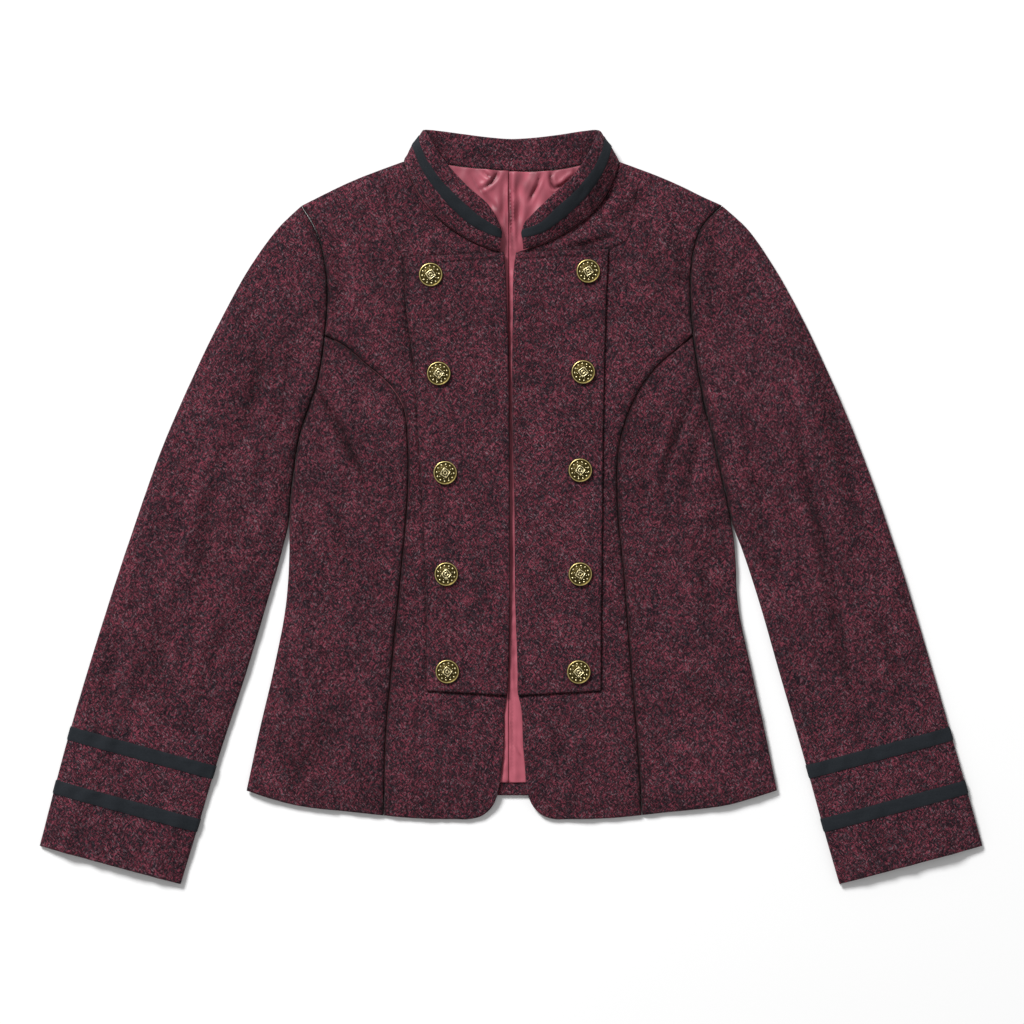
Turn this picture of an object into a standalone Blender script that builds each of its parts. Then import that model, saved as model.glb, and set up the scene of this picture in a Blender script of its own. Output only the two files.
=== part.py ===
"""Napoleon jacket of fine tweed, laid flat and face up on a table.

The wearer's right half lies at -X and the left half at +X, the collar is towards +Y, and +Z points up from
the table. Sizes are in millimetres. A distance called out runs outward from the centre line on either side.
"""

import math
from collections import namedtuple

import bmesh
import bpy
import numpy as np
from mathutils.geometry import delaunay_2d_cdt

MM = 0.001
SIDES = {"right": -1.0, "left": 1.0}

# Cloth walls and the gaps between pieces
BACK_WALL = 2.2
LINING_WALL = 1.0
HEM_WALL = 1.2
FRONT_WALL = 3.0
SLEEVE_WALL = 2.8
BIB_WALL = 2.4
COLLAR_WALL = 2.4
RIBBON_WALL = 1.0
COLLAR_RIBBON_WALL = 0.8
SEAM_GAP = 0.44
NECK_GAP = 0.56
LAYER_GAP = 0.3
COLLAR_RIBBON_GAP = 1.1

# Heights above the table
SHELL_FLOOR = BACK_WALL + LAYER_GAP
LINING_TOP = SHELL_FLOOR + LINING_WALL
FRONT_TOP = 7.8
SLEEVE_TOP = 8.6
MAX_HOLLOW = 3.6
HEM_DROP = 3.2
HEM_DROP_START = 2.0
HEM_DROP_REACH = 16.0

# The rolled edges: how far in the cloth starts to fall, and how far it falls
ROLL_REACH, ROLL_DROP = 12.0, 3.2
SLEEVE_ROLL_REACH, SLEEVE_ROLL_DROP = 27.0, 4.0
ROLL_GUIDE, SLEEVE_GUIDE = 3.0, 12.0

# Small shifts where outlines meet: at the armhole end of the princess seam, and at the top of the sleeve
TIP_GAP, TIP_CUT = 0.4, 1.2
SLEEVE_HEAD_INNER, SLEEVE_HEAD_OUTER = (0.42, -0.26), (1.1, -0.7)

# Where the straight hem starts beyond the rounded corner, and the stretches along which the fronts come down
HEM_START = 12.0
FRONT_DROP_SPAN, SIDE_DROP_SPAN = (19.0, 114.0), (123.0, 228.0)

# Points across the bib's ends, the cuff edge and the cuff bands
BIB_END_POINTS, CUFF_POINTS, CUFF_STOPS = 5, 7, (0.33, 0.5, 0.67)

# Trims
RIBBON_WIDTH = 12.7
CUFF_BANDS = {"lower": 50.0, "upper": 101.0}
LINING_INSET = 9.0
LINING_NECK, LINING_CORNER = 82.0, 4.0
BUTTON_RADIUS = 11.0
BUTTON_SIDES = 18
BUTTON_GAP = 0.4
HEM_STRIP = 11.4
CENTRE_SEAM_X = -2.0

# Mesh spacing
PANEL_STEP = 25.0
SLEEVE_STEP = 24.0
FLAT_STEP = 60.0
EDGE_STEP = 22.0

Level = namedtuple("Level", "y right left")
Point = namedtuple("Point", "out y")
Band = namedtuple("Band", "seam_out seam_y seam_z edge_out edge_y edge_z ribbon_low ribbon_high")
Fold = namedtuple("Fold", "piece side out1 y1 out2 y2 half_width height")

# The armhole seam, from the shoulder point down to the underarm: distance out on each side
ARMHOLE = [
    Level(277.0, 192.5, 193.8),
    Level(257.0, 180.8, 175.5),
    Level(235.5, 173.4, 167.9),
    Level(205.0, 169.0, 165.0),
    Level(158.0, 171.2, 167.4),
    Level(113.0, 178.5, 174.3),
    Level(90.0, 186.2, 178.8),
    Level(66.0, 194.1, 185.8),
]
PRINCESS_TOP = 158.0

# The side edge of the body, from the underarm to the hem
SIDE_EDGE = [
    Level(33.0, 199.6, 192.7),
    Level(6.0, 202.9, 198.7),
    Level(-14.0, 204.0, 202.6),
    Level(-35.0, 203.8, 205.6),
    Level(-89.0, 207.0, 208.8),
    Level(-148.0, 218.0, 220.8),
    Level(-207.0, 231.8, 233.7),
    Level(-260.4, 243.2, 244.7),
]

# The inner edge of the sleeve, from the underarm to the cuff
SLEEVE_INNER = [
    Level(33.0, 199.6, 192.7),
    Level(6.0, 202.9, 198.7),
    Level(-14.0, 204.2, 202.8),
    Level(-36.0, 209.3, 211.2),
    Level(-89.0, 224.5, 228.6),
    Level(-148.0, 242.0, 245.4),
    Level(-236.0, 270.5, 270.8),
    Level(-295.0, 288.0, 287.0),
    Level(-346.6, 303.6, 301.8),
]

# The outer edge of the sleeve, from the shoulder point to the cuff
SLEEVE_OUTER = [
    Level(277.0, 192.5, 193.8),
    Level(257.0, 213.2, 215.9),
    Level(228.0, 235.0, 237.0),
    Level(176.0, 264.8, 266.6),
    Level(117.0, 293.5, 294.4),
    Level(58.0, 319.2, 319.2),
    Level(-30.0, 350.5, 350.5),
    Level(-118.0, 379.0, 378.1),
    Level(-207.0, 405.7, 404.0),
    Level(-311.4, 433.3, 433.3),
]

# The princess seam, from the armhole to the hem
PRINCESS = [
    Level(158.0, 171.2, 167.4),
    Level(147.0, 151.5, 155.5),
    Level(132.0, 134.3, 137.5),
    Level(112.0, 111.5, 121.0),
    Level(93.0, 99.3, 111.0),
    Level(60.0, 94.8, 100.3),
    Level(10.0, 95.0, 97.8),
    Level(-55.0, 100.5, 103.4),
    Level(-138.0, 108.6, 110.0),
    Level(-215.0, 115.2, 116.4),
    Level(-283.8, 117.0, 120.5),
]

# The centre-front edge beside the bib, and below it round to the hem
BIB_TOP, BIB_BOTTOM = 233.6, -172.8
FRONT_EDGE_BESIDE = [
    Level(BIB_TOP, 6.4, 4.6),
    Level(222.0, 5.3, 2.8),
    Level(180.0, 3.4, 1.6),
    Level(100.0, 1.7, 1.0),
    Level(0.0, 1.0, 3.0),
    Level(-86.0, 1.1, 3.8),
    Level(-132.0, 2.0, 5.4),
    Level(BIB_BOTTOM, 3.4, 6.6),
]
FRONT_EDGE_BELOW = [
    Level(-180.0, 4.9, 8.4),
    Level(-240.0, 8.5, 12.8),
    Level(-264.0, 12.4, 15.4),
    Level(-275.5, 17.4, 20.6),
    Level(-284.0, 27.0, 30.0),
    Level(-287.0, 39.5, 40.0),
]

# The hem from the centre-front corner to the side, and the hem of the back, which is shorter
HEM = [Point(39.8, -287.0), Point(80.0, -286.6), Point(144.0, -280.6), Point(203.0, -273.0), Point(244.0, -260.4)]
BACK_HEM = [Point(0.0, -265.2), Point(120.0, -264.4), Point(200.0, -261.8), Point(243.8, -259.2)]

# The shoulder line from the neck point to the shoulder point
SHOULDER = [Point(98.6, 317.6), Point(143.5, 300.6), Point(192.5, 277.0)]

# The bib's outer edge between its two outer corners, and the dart from mid shoulder towards its top corner
BIB_TOP_CORNER = {"right": Point(98.2, 229.3), "left": Point(89.4, 236.8)}
BIB_EDGE = [
    Level(187.0, 96.6, 87.3),
    Level(125.0, 88.6, 85.6),
    Level(61.0, 84.6, 84.4),
    Level(-12.0, 80.2, 83.8),
    Level(-104.0, 77.4, 82.9),
]
BIB_LOW_CORNER = {"right": Point(77.3, -168.6), "left": Point(82.7, -168.6)}
DART = [Level(292.0, 115.0, 117.5), Level(265.0, 111.3, 112.0), Level(246.0, 106.5, 106.8)]
DART_HALF_WIDTH, DART_DEPTH = 3.0, 0.9

# Button centres, from the top down
BUTTONS = {
    "right": [Point(73.6, 213.0), Point(66.2, 122.4), Point(60.3, 31.3), Point(59.3, -61.6), Point(58.4, -150.9)],
    "left": [Point(70.8, 216.2), Point(66.2, 123.7), Point(63.5, 33.6), Point(63.5, -61.6), Point(62.1, -151.3)],
}
BUTTON_PROFILE = [
    (0.70, 0.00),
    (0.95, 0.35),
    (1.00, 1.70),
    (0.93, 2.55),
    (0.80, 2.10),
    (0.62, 3.00),
    (0.34, 3.95),
    (0.00, 4.30),
]

# The stand collar, from its front end round the neck to the centre back. The last two values of a band say
# where the ribbon's two edges lie, as shares of the way from the seam to the top edge.
COLLAR = {
    "right": [
        Band(9.7, 235.2, 8.6, 9.4, 253.0, 10.2, 0.64, 0.97),
        Band(17.5, 236.9, 8.6, 11.6, 261.5, 12.4, 0.47, 0.80),
        Band(31.5, 242.2, 8.6, 19.3, 275.0, 15.2, 0.36, 0.65),
        Band(52.0, 254.0, 8.6, 39.6, 293.5, 18.4, 0.37, 0.66),
        Band(74.0, 273.0, 8.8, 58.9, 314.2, 20.6, 0.43, 0.68),
        Band(90.8, 299.8, 8.8, 71.8, 333.0, 19.8, 0.44, 0.69),
        Band(97.2, 314.5, 7.9, 77.0, 342.6, 16.6, 0.47, 0.74),
        Band(97.4, 318.6, 5.6, 79.4, 345.6, 11.0, 0.47, 0.80),
        Band(93.6, 319.6, 3.6, 76.8, 346.4, 6.0, 0.45, 0.80),
        Band(75.0, 317.9, 3.0, 66.0, 345.6, 4.4, 0.42, 0.80),
        Band(47.0, 313.6, 3.0, 43.0, 342.6, 4.0, 0.40, 0.80),
        Band(19.3, 310.9, 3.0, 17.0, 339.4, 4.0, 0.40, 0.80),
    ],
    "left": [
        Band(11.2, 236.6, 8.6, 10.6, 253.0, 10.2, 0.64, 0.97),
        Band(17.5, 238.2, 8.6, 12.2, 259.6, 12.4, 0.47, 0.80),
        Band(31.0, 242.6, 8.6, 19.6, 268.0, 15.8, 0.36, 0.66),
        Band(52.0, 253.4, 8.6, 36.8, 284.6, 20.0, 0.365, 0.69),
        Band(73.6, 269.4, 8.8, 56.4, 302.8, 23.0, 0.425, 0.72),
        Band(91.0, 294.6, 8.8, 71.8, 325.2, 22.6, 0.43, 0.71),
        Band(97.6, 311.4, 7.9, 77.8, 338.4, 18.4, 0.46, 0.74),
        Band(98.0, 318.0, 5.6, 80.6, 344.6, 12.0, 0.47, 0.80),
        Band(94.0, 319.4, 3.6, 78.2, 346.2, 6.4, 0.45, 0.80),
        Band(76.4, 317.4, 3.0, 67.6, 345.6, 4.4, 0.42, 0.80),
        Band(46.9, 311.2, 3.0, 42.0, 341.8, 4.0, 0.40, 0.80),
        Band(18.4, 308.9, 3.0, 16.6, 339.0, 4.0, 0.40, 0.80),
    ],
}
COLLAR_BACK = Band(0.0, 309.2, 3.0, 0.0, 338.2, 4.0, 0.40, 0.80)
NECK_ROWS, NECK_STEP = 7, 14.0
COLLAR_BULGE = 0.085
COLLAR_STEP = 14.5
COLLAR_ACROSS = (0.0, 0.25, 0.5, 0.76, 1.0)
COLLAR_EDGE_THINNING = 0.55

# The largest soft folds: a ridge is positive and a trough is negative
FOLDS = [
    Fold("front", "right", 172.0, 104.0, 130.0, 28.0, 9.0, -1.5),
    Fold("front", "right", 158.0, 100.0, 118.0, 40.0, 12.0, 1.2),
    Fold("front", "right", 186.0, 40.0, 150.0, -40.0, 13.0, 1.2),
    Fold("front", "right", 152.0, -180.0, 204.0, -250.0, 15.0, -1.5),
    Fold("front", "right", 108.0, 190.0, 100.0, 118.0, 11.0, -1.3),
    Fold("front", "left", 166.0, 92.0, 128.0, -20.0, 10.0, -1.5),
    Fold("front", "left", 146.0, 88.0, 114.0, 6.0, 10.0, 1.2),
    Fold("front", "left", 186.0, 40.0, 150.0, -60.0, 12.0, 1.3),
    Fold("front", "left", 166.0, -166.0, 222.0, -204.0, 14.0, -1.4),
    Fold("front", "left", 108.0, 236.0, 62.0, 242.0, 6.0, -1.0),
    Fold("front", "left", 150.0, 250.0, 134.0, 190.0, 16.0, 1.2),
    Fold("front", "right", 150.0, 250.0, 140.0, 190.0, 18.0, 1.0),
    Fold("sleeve", "right", 231.0, 150.0, 241.0, 80.0, 12.0, -1.4),
    Fold("sleeve", "right", 262.0, 160.0, 292.0, 0.0, 16.0, 1.2),
    Fold("sleeve", "right", 277.0, 14.0, 286.0, -60.0, 12.0, -1.3),
    Fold("sleeve", "right", 319.0, -120.0, 328.0, -190.0, 13.0, -1.3),
    Fold("sleeve", "left", 245.0, 176.0, 268.0, 74.0, 8.0, 1.5),
    Fold("sleeve", "left", 268.0, 74.0, 316.0, -166.0, 8.0, 1.6),
    Fold("sleeve", "left", 234.0, 150.0, 284.0, -90.0, 10.0, -1.2),
    Fold("sleeve", "left", 286.0, 90.0, 346.0, -150.0, 13.0, -1.4),
]

# Colours, roughness and metal share of each material
TWEED = (0.060, 0.016, 0.024), 0.85, 0.0
SATIN = (0.38, 0.07, 0.11), 0.35, 0.0
GROSGRAIN = (0.012, 0.015, 0.019), 0.6, 0.0
BRASS = (0.42, 0.30, 0.09), 0.35, 1.0


def clear_scene():
    for item in list(bpy.data.objects):
        bpy.data.objects.remove(item, do_unlink=True)


def smooth(points, step):
    """A smooth curve through every point, with steps no longer than the one given."""
    p = np.array(points, dtype=float)
    before = np.vstack([2 * p[0] - p[1], p[:-1]])
    after = np.vstack([p[1:], 2 * p[-1] - p[-2]])
    chord = np.linalg.norm(np.diff(p, axis=0), axis=1)
    span_before = np.concatenate([[chord[0]], chord])
    span_after = np.concatenate([chord, [chord[-1]]])
    slope = ((p - before) / span_before[:, None] * span_after[:, None]
             + (after - p) / span_after[:, None] * span_before[:, None])
    slope /= (span_before + span_after)[:, None]
    found = []
    for i, length in enumerate(chord):
        count = max(1, math.ceil(length / step - 0.15))
        for t in np.arange(count) / count:
            found.append(
                (2 * t**3 - 3 * t**2 + 1) * p[i]
                + (t**3 - 2 * t**2 + t) * length * slope[i]
                + (3 * t**2 - 2 * t**3) * p[i + 1]
                + (t**3 - t**2) * length * slope[i + 1]
            )
    return np.array(found + [p[-1]])


def levels(table, side, step=EDGE_STEP):
    """The curve of a table of levels on one side, from its top down."""
    return smooth([(getattr(row, side), row.y) for row in table], step)


def shifted(line, distance):
    """The line moved sideways to its left by a distance."""
    along = np.gradient(line, axis=0)
    along /= np.linalg.norm(along, axis=1)[:, None]
    return line + distance * np.stack([-along[:, 1], along[:, 0]], axis=1)


def joined(*lines):
    """One closed outline from lines that follow each other, without doubled points."""
    points = np.vstack(lines)
    following = np.roll(points, -1, axis=0)
    return points[np.linalg.norm(points - following, axis=1) > 0.05]


def distance(points, line):
    """How far each point lies from a line, and where along the line its nearest place is, 0 to 1."""
    points = np.reshape(points, (-1, 2))
    if not len(points):
        return np.zeros(0), np.zeros(0)
    start, step = line[:-1], np.diff(line, axis=0)
    length = np.linalg.norm(step, axis=1)
    t = np.clip(((points[:, None] - start) * step).sum(2) / length**2, 0, 1)
    gap = np.linalg.norm(points[:, None] - (start + t[..., None] * step), axis=2)
    nearest = gap.argmin(axis=1)
    row = np.arange(len(points))
    along = (np.cumsum(length) - length)[nearest] + t[row, nearest] * length[nearest]
    return gap[row, nearest], along / length.sum()


def inside(points, outline):
    """Which points lie inside a closed outline."""
    x, y = np.reshape(points, (-1, 2)).T
    hit = np.zeros(len(x), bool)
    for (x1, y1), (x2, y2) in zip(outline, np.roll(outline, -1, axis=0)):
        crosses = (y1 > y) != (y2 > y)
        with np.errstate(divide="ignore", invalid="ignore"):
            hit ^= crosses & (x < (x2 - x1) * (y - y1) / (y2 - y1) + x1)
    return hit


def grid_points(outline, lines, spacing, clear):
    """A staggered grid of points inside an outline, kept clear of its edge and of the lines on it."""
    low, high = outline.min(axis=0), outline.max(axis=0)
    rows = np.arange(low[1] + spacing / 2, high[1], spacing * 0.87)
    points = [
        (x, y)
        for i, y in enumerate(rows)
        for x in np.arange(low[0] + spacing * (0.25 + 0.5 * (i % 2)), high[0], spacing)
    ]
    points = np.array(points).reshape(-1, 2)
    points = points[inside(points, outline)]
    for line in [np.vstack([outline, outline[:1]])] + lines:
        points = points[distance(points, line)[0] > clear]
    return points


def plate(outline, kept_lines=(), guide_lines=(), spacing=FLAT_STEP):
    """Triangles that fill an outline: kept lines become edges, guide lines only give points."""
    kept = [np.array(line) for line in kept_lines]
    guides = [line[inside(line, outline)] for line in guide_lines]
    guides = [line for line in guides if len(line) > 1]
    rim = np.vstack([outline, outline[:1]])
    loose = []
    for line in guides:
        free = line
        for other in [rim] + kept:
            free = free[distance(free, other)[0] > 1.5]
        if len(free):
            loose.append(free)
    grid = grid_points(outline, kept + guides, spacing, spacing * 0.42)
    points = [outline] + kept + loose + [grid]
    starts = np.cumsum([0] + [len(group) for group in points])
    count = len(outline)
    edges = [(i, (i + 1) % count) for i in range(count)]
    for start, line in zip(starts[1:], kept):
        edges += [(start + i, start + i + 1) for i in range(len(line) - 1)]
    flat = [tuple(map(float, p)) for p in np.vstack(points)]
    result = delaunay_2d_cdt(flat, edges, [], 1, 0.02)
    found = np.array([tuple(p) for p in result[0]])
    triangles = np.array([t for t in result[2] if len(t) == 3])
    centre = found[triangles].mean(axis=1)
    triangles = triangles[inside(centre, outline)]
    a, b, c = (found[triangles[:, i]] for i in range(3))
    area = (b[:, 0] - a[:, 0]) * (c[:, 1] - a[:, 1]) - (b[:, 1] - a[:, 1]) * (c[:, 0] - a[:, 0])
    triangles = triangles[np.abs(area) > 0.02]
    return found, triangles


def material(name, look):
    """A plain material of one colour, roughness and metal share."""
    made = bpy.data.materials.get(name) or bpy.data.materials.new(name)
    made.use_nodes = True
    shader = made.node_tree.nodes["Principled BSDF"]
    colour, roughness, metallic = look
    shader.inputs["Base Color"].default_value = (*colour, 1.0)
    shader.inputs["Roughness"].default_value = roughness
    shader.inputs["Metallic"].default_value = metallic
    return made


def add_object(name, points, faces, look):
    """A closed object from points in millimetres and faces that all touch each other."""
    mesh = bpy.data.meshes.new(name)
    mesh.from_pydata([tuple(float(v) * MM for v in p) for p in points], [], [tuple(map(int, f)) for f in faces])
    work = bmesh.new()
    work.from_mesh(mesh)
    bmesh.ops.delete(work, geom=[v for v in work.verts if not v.link_faces], context="VERTS")
    bmesh.ops.recalc_face_normals(work, faces=work.faces)
    work.to_mesh(mesh)
    work.free()
    made = bpy.data.objects.new(name, mesh)
    bpy.context.scene.collection.objects.link(made)
    mesh.materials.append(material(*look))
    mesh.shade_smooth()
    mesh.set_sharp_from_angle(angle=math.radians(40))
    return made


def slab(name, flat, triangles, low, high, sign, look):
    """A sheet with its triangles in plan, closed between a low and a high surface."""
    count = len(flat)
    rim = {}
    for t in triangles:
        for a, b in ((t[0], t[1]), (t[1], t[2]), (t[2], t[0])):
            if (b, a) in rim:
                del rim[(b, a)]
            else:
                rim[(a, b)] = True
    out = flat[:, 0] * sign
    points = np.vstack([np.stack([out, flat[:, 1], low], axis=1), np.stack([out, flat[:, 1], high], axis=1)])
    faces = [(t[0] + count, t[1] + count, t[2] + count) for t in triangles]
    faces += [(t[2], t[1], t[0]) for t in triangles]
    for a, b in rim:
        faces += [(a, b, b + count), (a, b + count, a + count)]
    return add_object(name, points, faces, look)


def fold_relief(flat, piece, side):
    """The sum of the soft folds of one piece at points in plan."""
    relief = np.zeros(len(flat))
    for fold in FOLDS:
        if (fold.piece, fold.side) != (piece, side):
            continue
        line = np.array([(fold.out1, fold.y1), (fold.out2, fold.y2)])
        gap, along = distance(flat, line)
        fade = np.sin(math.pi * np.clip(along, 0.0, 1.0)) ** 0.5
        relief += fold.height * fade * np.exp(-((gap / fold.half_width) ** 2))
    return relief


def roll_fall(flat, line, reach, drop):
    """How far a rolled edge brings the cloth down at points in plan."""
    near = np.clip(1.0 - distance(flat, line)[0] / reach, 0.0, 1.0)
    return drop * (1.0 - np.sqrt(1.0 - near**2))


class Body:
    """The lines of one half of the body, out from the centre line."""

    def __init__(self, side):
        self.side, self.sign = side, SIDES[side]
        self.shoulder = smooth(SHOULDER, EDGE_STEP)
        whole_side = levels(ARMHOLE + SIDE_EDGE, side)
        self.edge = whole_side
        underarm = int(np.argmin(np.abs(whole_side[:, 1] - ARMHOLE[-1].y)))
        tip = int(np.argmin(np.abs(whole_side[:, 1] - PRINCESS_TOP)))
        self.armhole_above, self.below_tip = whole_side[: tip + 1], whole_side[tip:]
        self.side_edge = whole_side[underarm:]
        self.princess = levels(PRINCESS, side)
        self.neckline = self.neck_seam()
        self.back_neckline = self.back_seam()

    def neck_seam(self):
        """The fronts' side of the collar seam, from the centre front to the shoulder."""
        rows = COLLAR[self.side][:NECK_ROWS]
        line = smooth([(row.seam_out, row.seam_y) for row in rows], NECK_STEP)
        return shifted(line, -NECK_GAP)

    def back_seam(self):
        """The back's side of the collar seam, from the shoulder to the centre back."""
        rows = COLLAR[self.side][NECK_ROWS + 1:] + [COLLAR_BACK]
        line = smooth([(row.seam_out, row.seam_y) for row in rows], NECK_STEP)
        return line - np.array([0.0, NECK_GAP])

    def hem(self, low, high):
        """The hem between two distances out, at its own heights."""
        curve = smooth(HEM, 6.0)
        steps = np.linspace(low, high, max(2, math.ceil((high - low) / EDGE_STEP) + 1))
        return np.stack([steps, np.interp(steps, curve[:, 0], curve[:, 1])], axis=1)

    def top(self, flat):
        """The outer surface of the fronts, before any bib."""
        height = FRONT_TOP + fold_relief(flat, "front", self.side)
        shoulder_fall = roll_fall(flat, self.shoulder, ROLL_REACH, ROLL_DROP)
        height -= np.maximum(roll_fall(flat, self.side_edge, ROLL_REACH, ROLL_DROP), shoulder_fall)
        gap, along = distance(flat, levels(DART, self.side))
        height -= DART_DEPTH * np.clip(1.0 - gap / DART_HALF_WIDTH, 0.0, 1.0) * (along > 0.01)
        return height - self.hem_fall(flat)

    def drop_line(self, low, high):
        """The line where the fronts start to come down, between two distances out."""
        curve = smooth(BACK_HEM, 6.0)
        steps = np.linspace(low, high, max(2, math.ceil((high - low) / EDGE_STEP) + 1))
        heights = np.interp(steps, curve[:, 0], curve[:, 1]) - HEM_DROP_START
        return np.stack([steps, heights], axis=1)

    def hem_fall(self, flat):
        """Below the hem of the back, the fronts come down towards the table."""
        curve = smooth(BACK_HEM, 6.0)
        past = np.interp(flat[:, 0], curve[:, 0], curve[:, 1]) - flat[:, 1] - HEM_DROP_START
        share = np.clip(past / HEM_DROP_REACH, 0.0, 1.0)
        return HEM_DROP * share**2 * (3 - 2 * share)

    def under(self, flat, top):
        """The inner surface of the fronts: a wall below the top, resting on the back or the lining."""
        floor = np.where(self.hem_fall(flat) > 0.0, 0.3, SHELL_FLOOR)
        return np.clip(top - FRONT_WALL, floor, LINING_TOP + MAX_HOLLOW)


def front_outline(body):
    """The centre-front piece, which has a point where each end of the bib meets its edge."""
    side = body.side
    beside = levels(FRONT_EDGE_BESIDE, side)
    below = levels(FRONT_EDGE_BELOW, side)
    princess = shifted(body.princess, -SEAM_GAP / 2)
    hem = body.hem(below[-1][0] + HEM_START, princess[-1][0])
    hem[-1][1] = princess[-1][1] = hem[-1][1]
    armhole = shifted(body.edge, -SEAM_GAP / 2)[: len(body.armhole_above)]
    princess[0] = armhole[-1] + np.array([0.0, TIP_GAP])
    return joined(beside, below, hem, princess[::-1], armhole[::-1][1:], body.shoulder[::-1][1:],
                  body.neckline[::-1])


def bib_lines(body):
    """The bib's outline on the front, from its top corner at the edge round to its bottom corner."""
    side = body.side
    edge = [(getattr(row, side), row.y) for row in BIB_EDGE]
    outer = smooth([BIB_TOP_CORNER[side]] + edge + [BIB_LOW_CORNER[side]], EDGE_STEP)
    beside = levels(FRONT_EDGE_BESIDE, side)
    first, last = beside[0], beside[-1]
    across = np.linspace(0.0, 1.0, BIB_END_POINTS)[:, None]
    top = first + (outer[0] - first) * across
    bottom = outer[-1] + (last - outer[-1]) * across
    return joined(top, outer[1:], bottom[1:])


def make_front(body):
    """The centre front and the bib that lies on it, which shares its points."""
    side = body.side
    outline = front_outline(body)
    bib = bib_lines(body)
    shoulder_guides = [shifted(body.shoulder, -d) for d in (ROLL_GUIDE, ROLL_REACH)]
    dart = levels(DART, side)
    flanks = [shifted(dart, d) for d in (-DART_HALF_WIDTH, DART_HALF_WIDTH)]
    drop_line = body.drop_line(*FRONT_DROP_SPAN)
    flat, triangles = plate(outline, [bib, dart, drop_line], shoulder_guides + flanks, PANEL_STEP)
    top = body.top(flat)
    name = f"front_{side}"
    slab(name, flat, triangles, body.under(flat, top), top, body.sign, ("tweed", TWEED))
    beside = levels(FRONT_EDGE_BESIDE, side)
    region = joined(bib, beside[::-1][1:-1])
    chosen = triangles[inside(flat[triangles].mean(axis=1), region)]
    low = top + LAYER_GAP
    slab(f"bib_{side}", flat, chosen, low, low + BIB_WALL, body.sign, ("tweed", TWEED))


def make_side_front(body):
    """The side front, from the princess seam to the side edge."""
    princess = shifted(body.princess, SEAM_GAP / 2)
    edge = shifted(body.below_tip, -SEAM_GAP / 2)
    edge[0] = body.below_tip[0] + np.array([-SEAM_GAP / 2, -TIP_CUT])
    hem = body.hem(princess[-1][0], edge[-1][0])
    princess[-1][1] = hem[0][1]
    edge[-1][1] = hem[-1][1]
    outline = joined(princess[1:], hem[1:], edge[::-1][1:])
    guides = [shifted(body.side_edge, -d) for d in (ROLL_GUIDE, ROLL_REACH)]
    flat, triangles = plate(outline, [body.drop_line(*SIDE_DROP_SPAN)], guides, PANEL_STEP)
    top = body.top(flat)
    name = f"side_front_{body.side}"
    slab(name, flat, triangles, body.under(flat, top), top, body.sign, ("tweed", TWEED))


def make_buttons(body):
    """The domed buttons, each seated on the highest bib points under it."""
    for number, place in enumerate(BUTTONS[body.side], start=1):
        angles = np.arange(BUTTON_SIDES) * 2 * math.pi / BUTTON_SIDES
        ring = np.stack([np.cos(angles), np.sin(angles)], axis=1) * BUTTON_RADIUS
        centre = np.array(place)
        around = np.vstack([centre + ring * share for share in (0.0, 0.6, 1.0)])
        seat = body.top(around).max() + LAYER_GAP + BIB_WALL + BUTTON_GAP
        points = []
        for radius, height in BUTTON_PROFILE[:-1]:
            points += [(x * radius, y * radius, height) for x, y in ring]
        rings = len(BUTTON_PROFILE) - 1
        points += [(0.0, 0.0, BUTTON_PROFILE[-1][1]), (0.0, 0.0, 0.0)]
        points = np.array(points) + (centre[0] * body.sign, centre[1], seat)
        faces = []
        for i in range(BUTTON_SIDES):
            j = (i + 1) % BUTTON_SIDES
            faces.append((rings * BUTTON_SIDES + 1, j, i))
            for r in range(rings - 1):
                a, b = r * BUTTON_SIDES, (r + 1) * BUTTON_SIDES
                faces.append((a + i, a + j, b + j, b + i))
            last = (rings - 1) * BUTTON_SIDES
            faces.append((last + i, last + j, rings * BUTTON_SIDES))
        add_object(f"button_{body.side}_{number}", points, faces, ("brass", BRASS))


class Sleeve:
    """The lines of one sleeve, out from the centre line."""

    def __init__(self, body):
        self.side, self.sign = body.side, body.sign
        self.inner = levels(ARMHOLE + SLEEVE_INNER, body.side)
        self.outer = levels(SLEEVE_OUTER, body.side)
        underarm = int(np.argmin(np.abs(self.inner[:, 1] - ARMHOLE[-1].y)))
        self.inner_edge = self.inner[underarm:]
        inner = shifted(self.inner, SEAM_GAP / 2)
        inner[0] = self.inner[0] + np.array(SLEEVE_HEAD_INNER)
        outer = self.outer.copy()
        outer[0] = self.outer[0] + np.array(SLEEVE_HEAD_OUTER)
        cuff = np.linspace(inner[-1], outer[-1], CUFF_POINTS)
        self.outline = joined(inner, cuff[1:-1], outer[::-1])
        self.across = self.band_lines(inner, outer)

    def band_lines(self, inner, outer):
        """The lower and upper line of each cuff band, from the inner to the outer edge."""
        def up(line, far):
            back = line[::-1]
            run = np.concatenate([[0], np.cumsum(np.linalg.norm(np.diff(back, axis=0), axis=1))])
            return np.array([np.interp(far, run, back[:, k]) for k in (0, 1)])

        width = np.linalg.norm(inner[-1] - outer[-1])
        edge_stops = np.array([0.0, ROLL_GUIDE, SLEEVE_GUIDE]) / width
        stops = np.concatenate([edge_stops, CUFF_STOPS, 1.0 - edge_stops[::-1]])
        lines = {}
        for name, low in CUFF_BANDS.items():
            pair = []
            for far in (low, low + RIBBON_WIDTH):
                start, end = up(inner, far), up(outer, far)
                pair.append(start + (end - start) * stops[:, None])
            lines[name] = pair
        return lines

    def top(self, flat):
        """The outer surface of the sleeve."""
        height = SLEEVE_TOP + fold_relief(flat, "sleeve", self.side)
        fall = [roll_fall(flat, line, SLEEVE_ROLL_REACH, SLEEVE_ROLL_DROP) for line in (self.inner_edge, self.outer)]
        return height - np.maximum(*fall)

    def under(self, top):
        return np.clip(top - SLEEVE_WALL, SHELL_FLOOR, BACK_WALL + MAX_HOLLOW)


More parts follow.
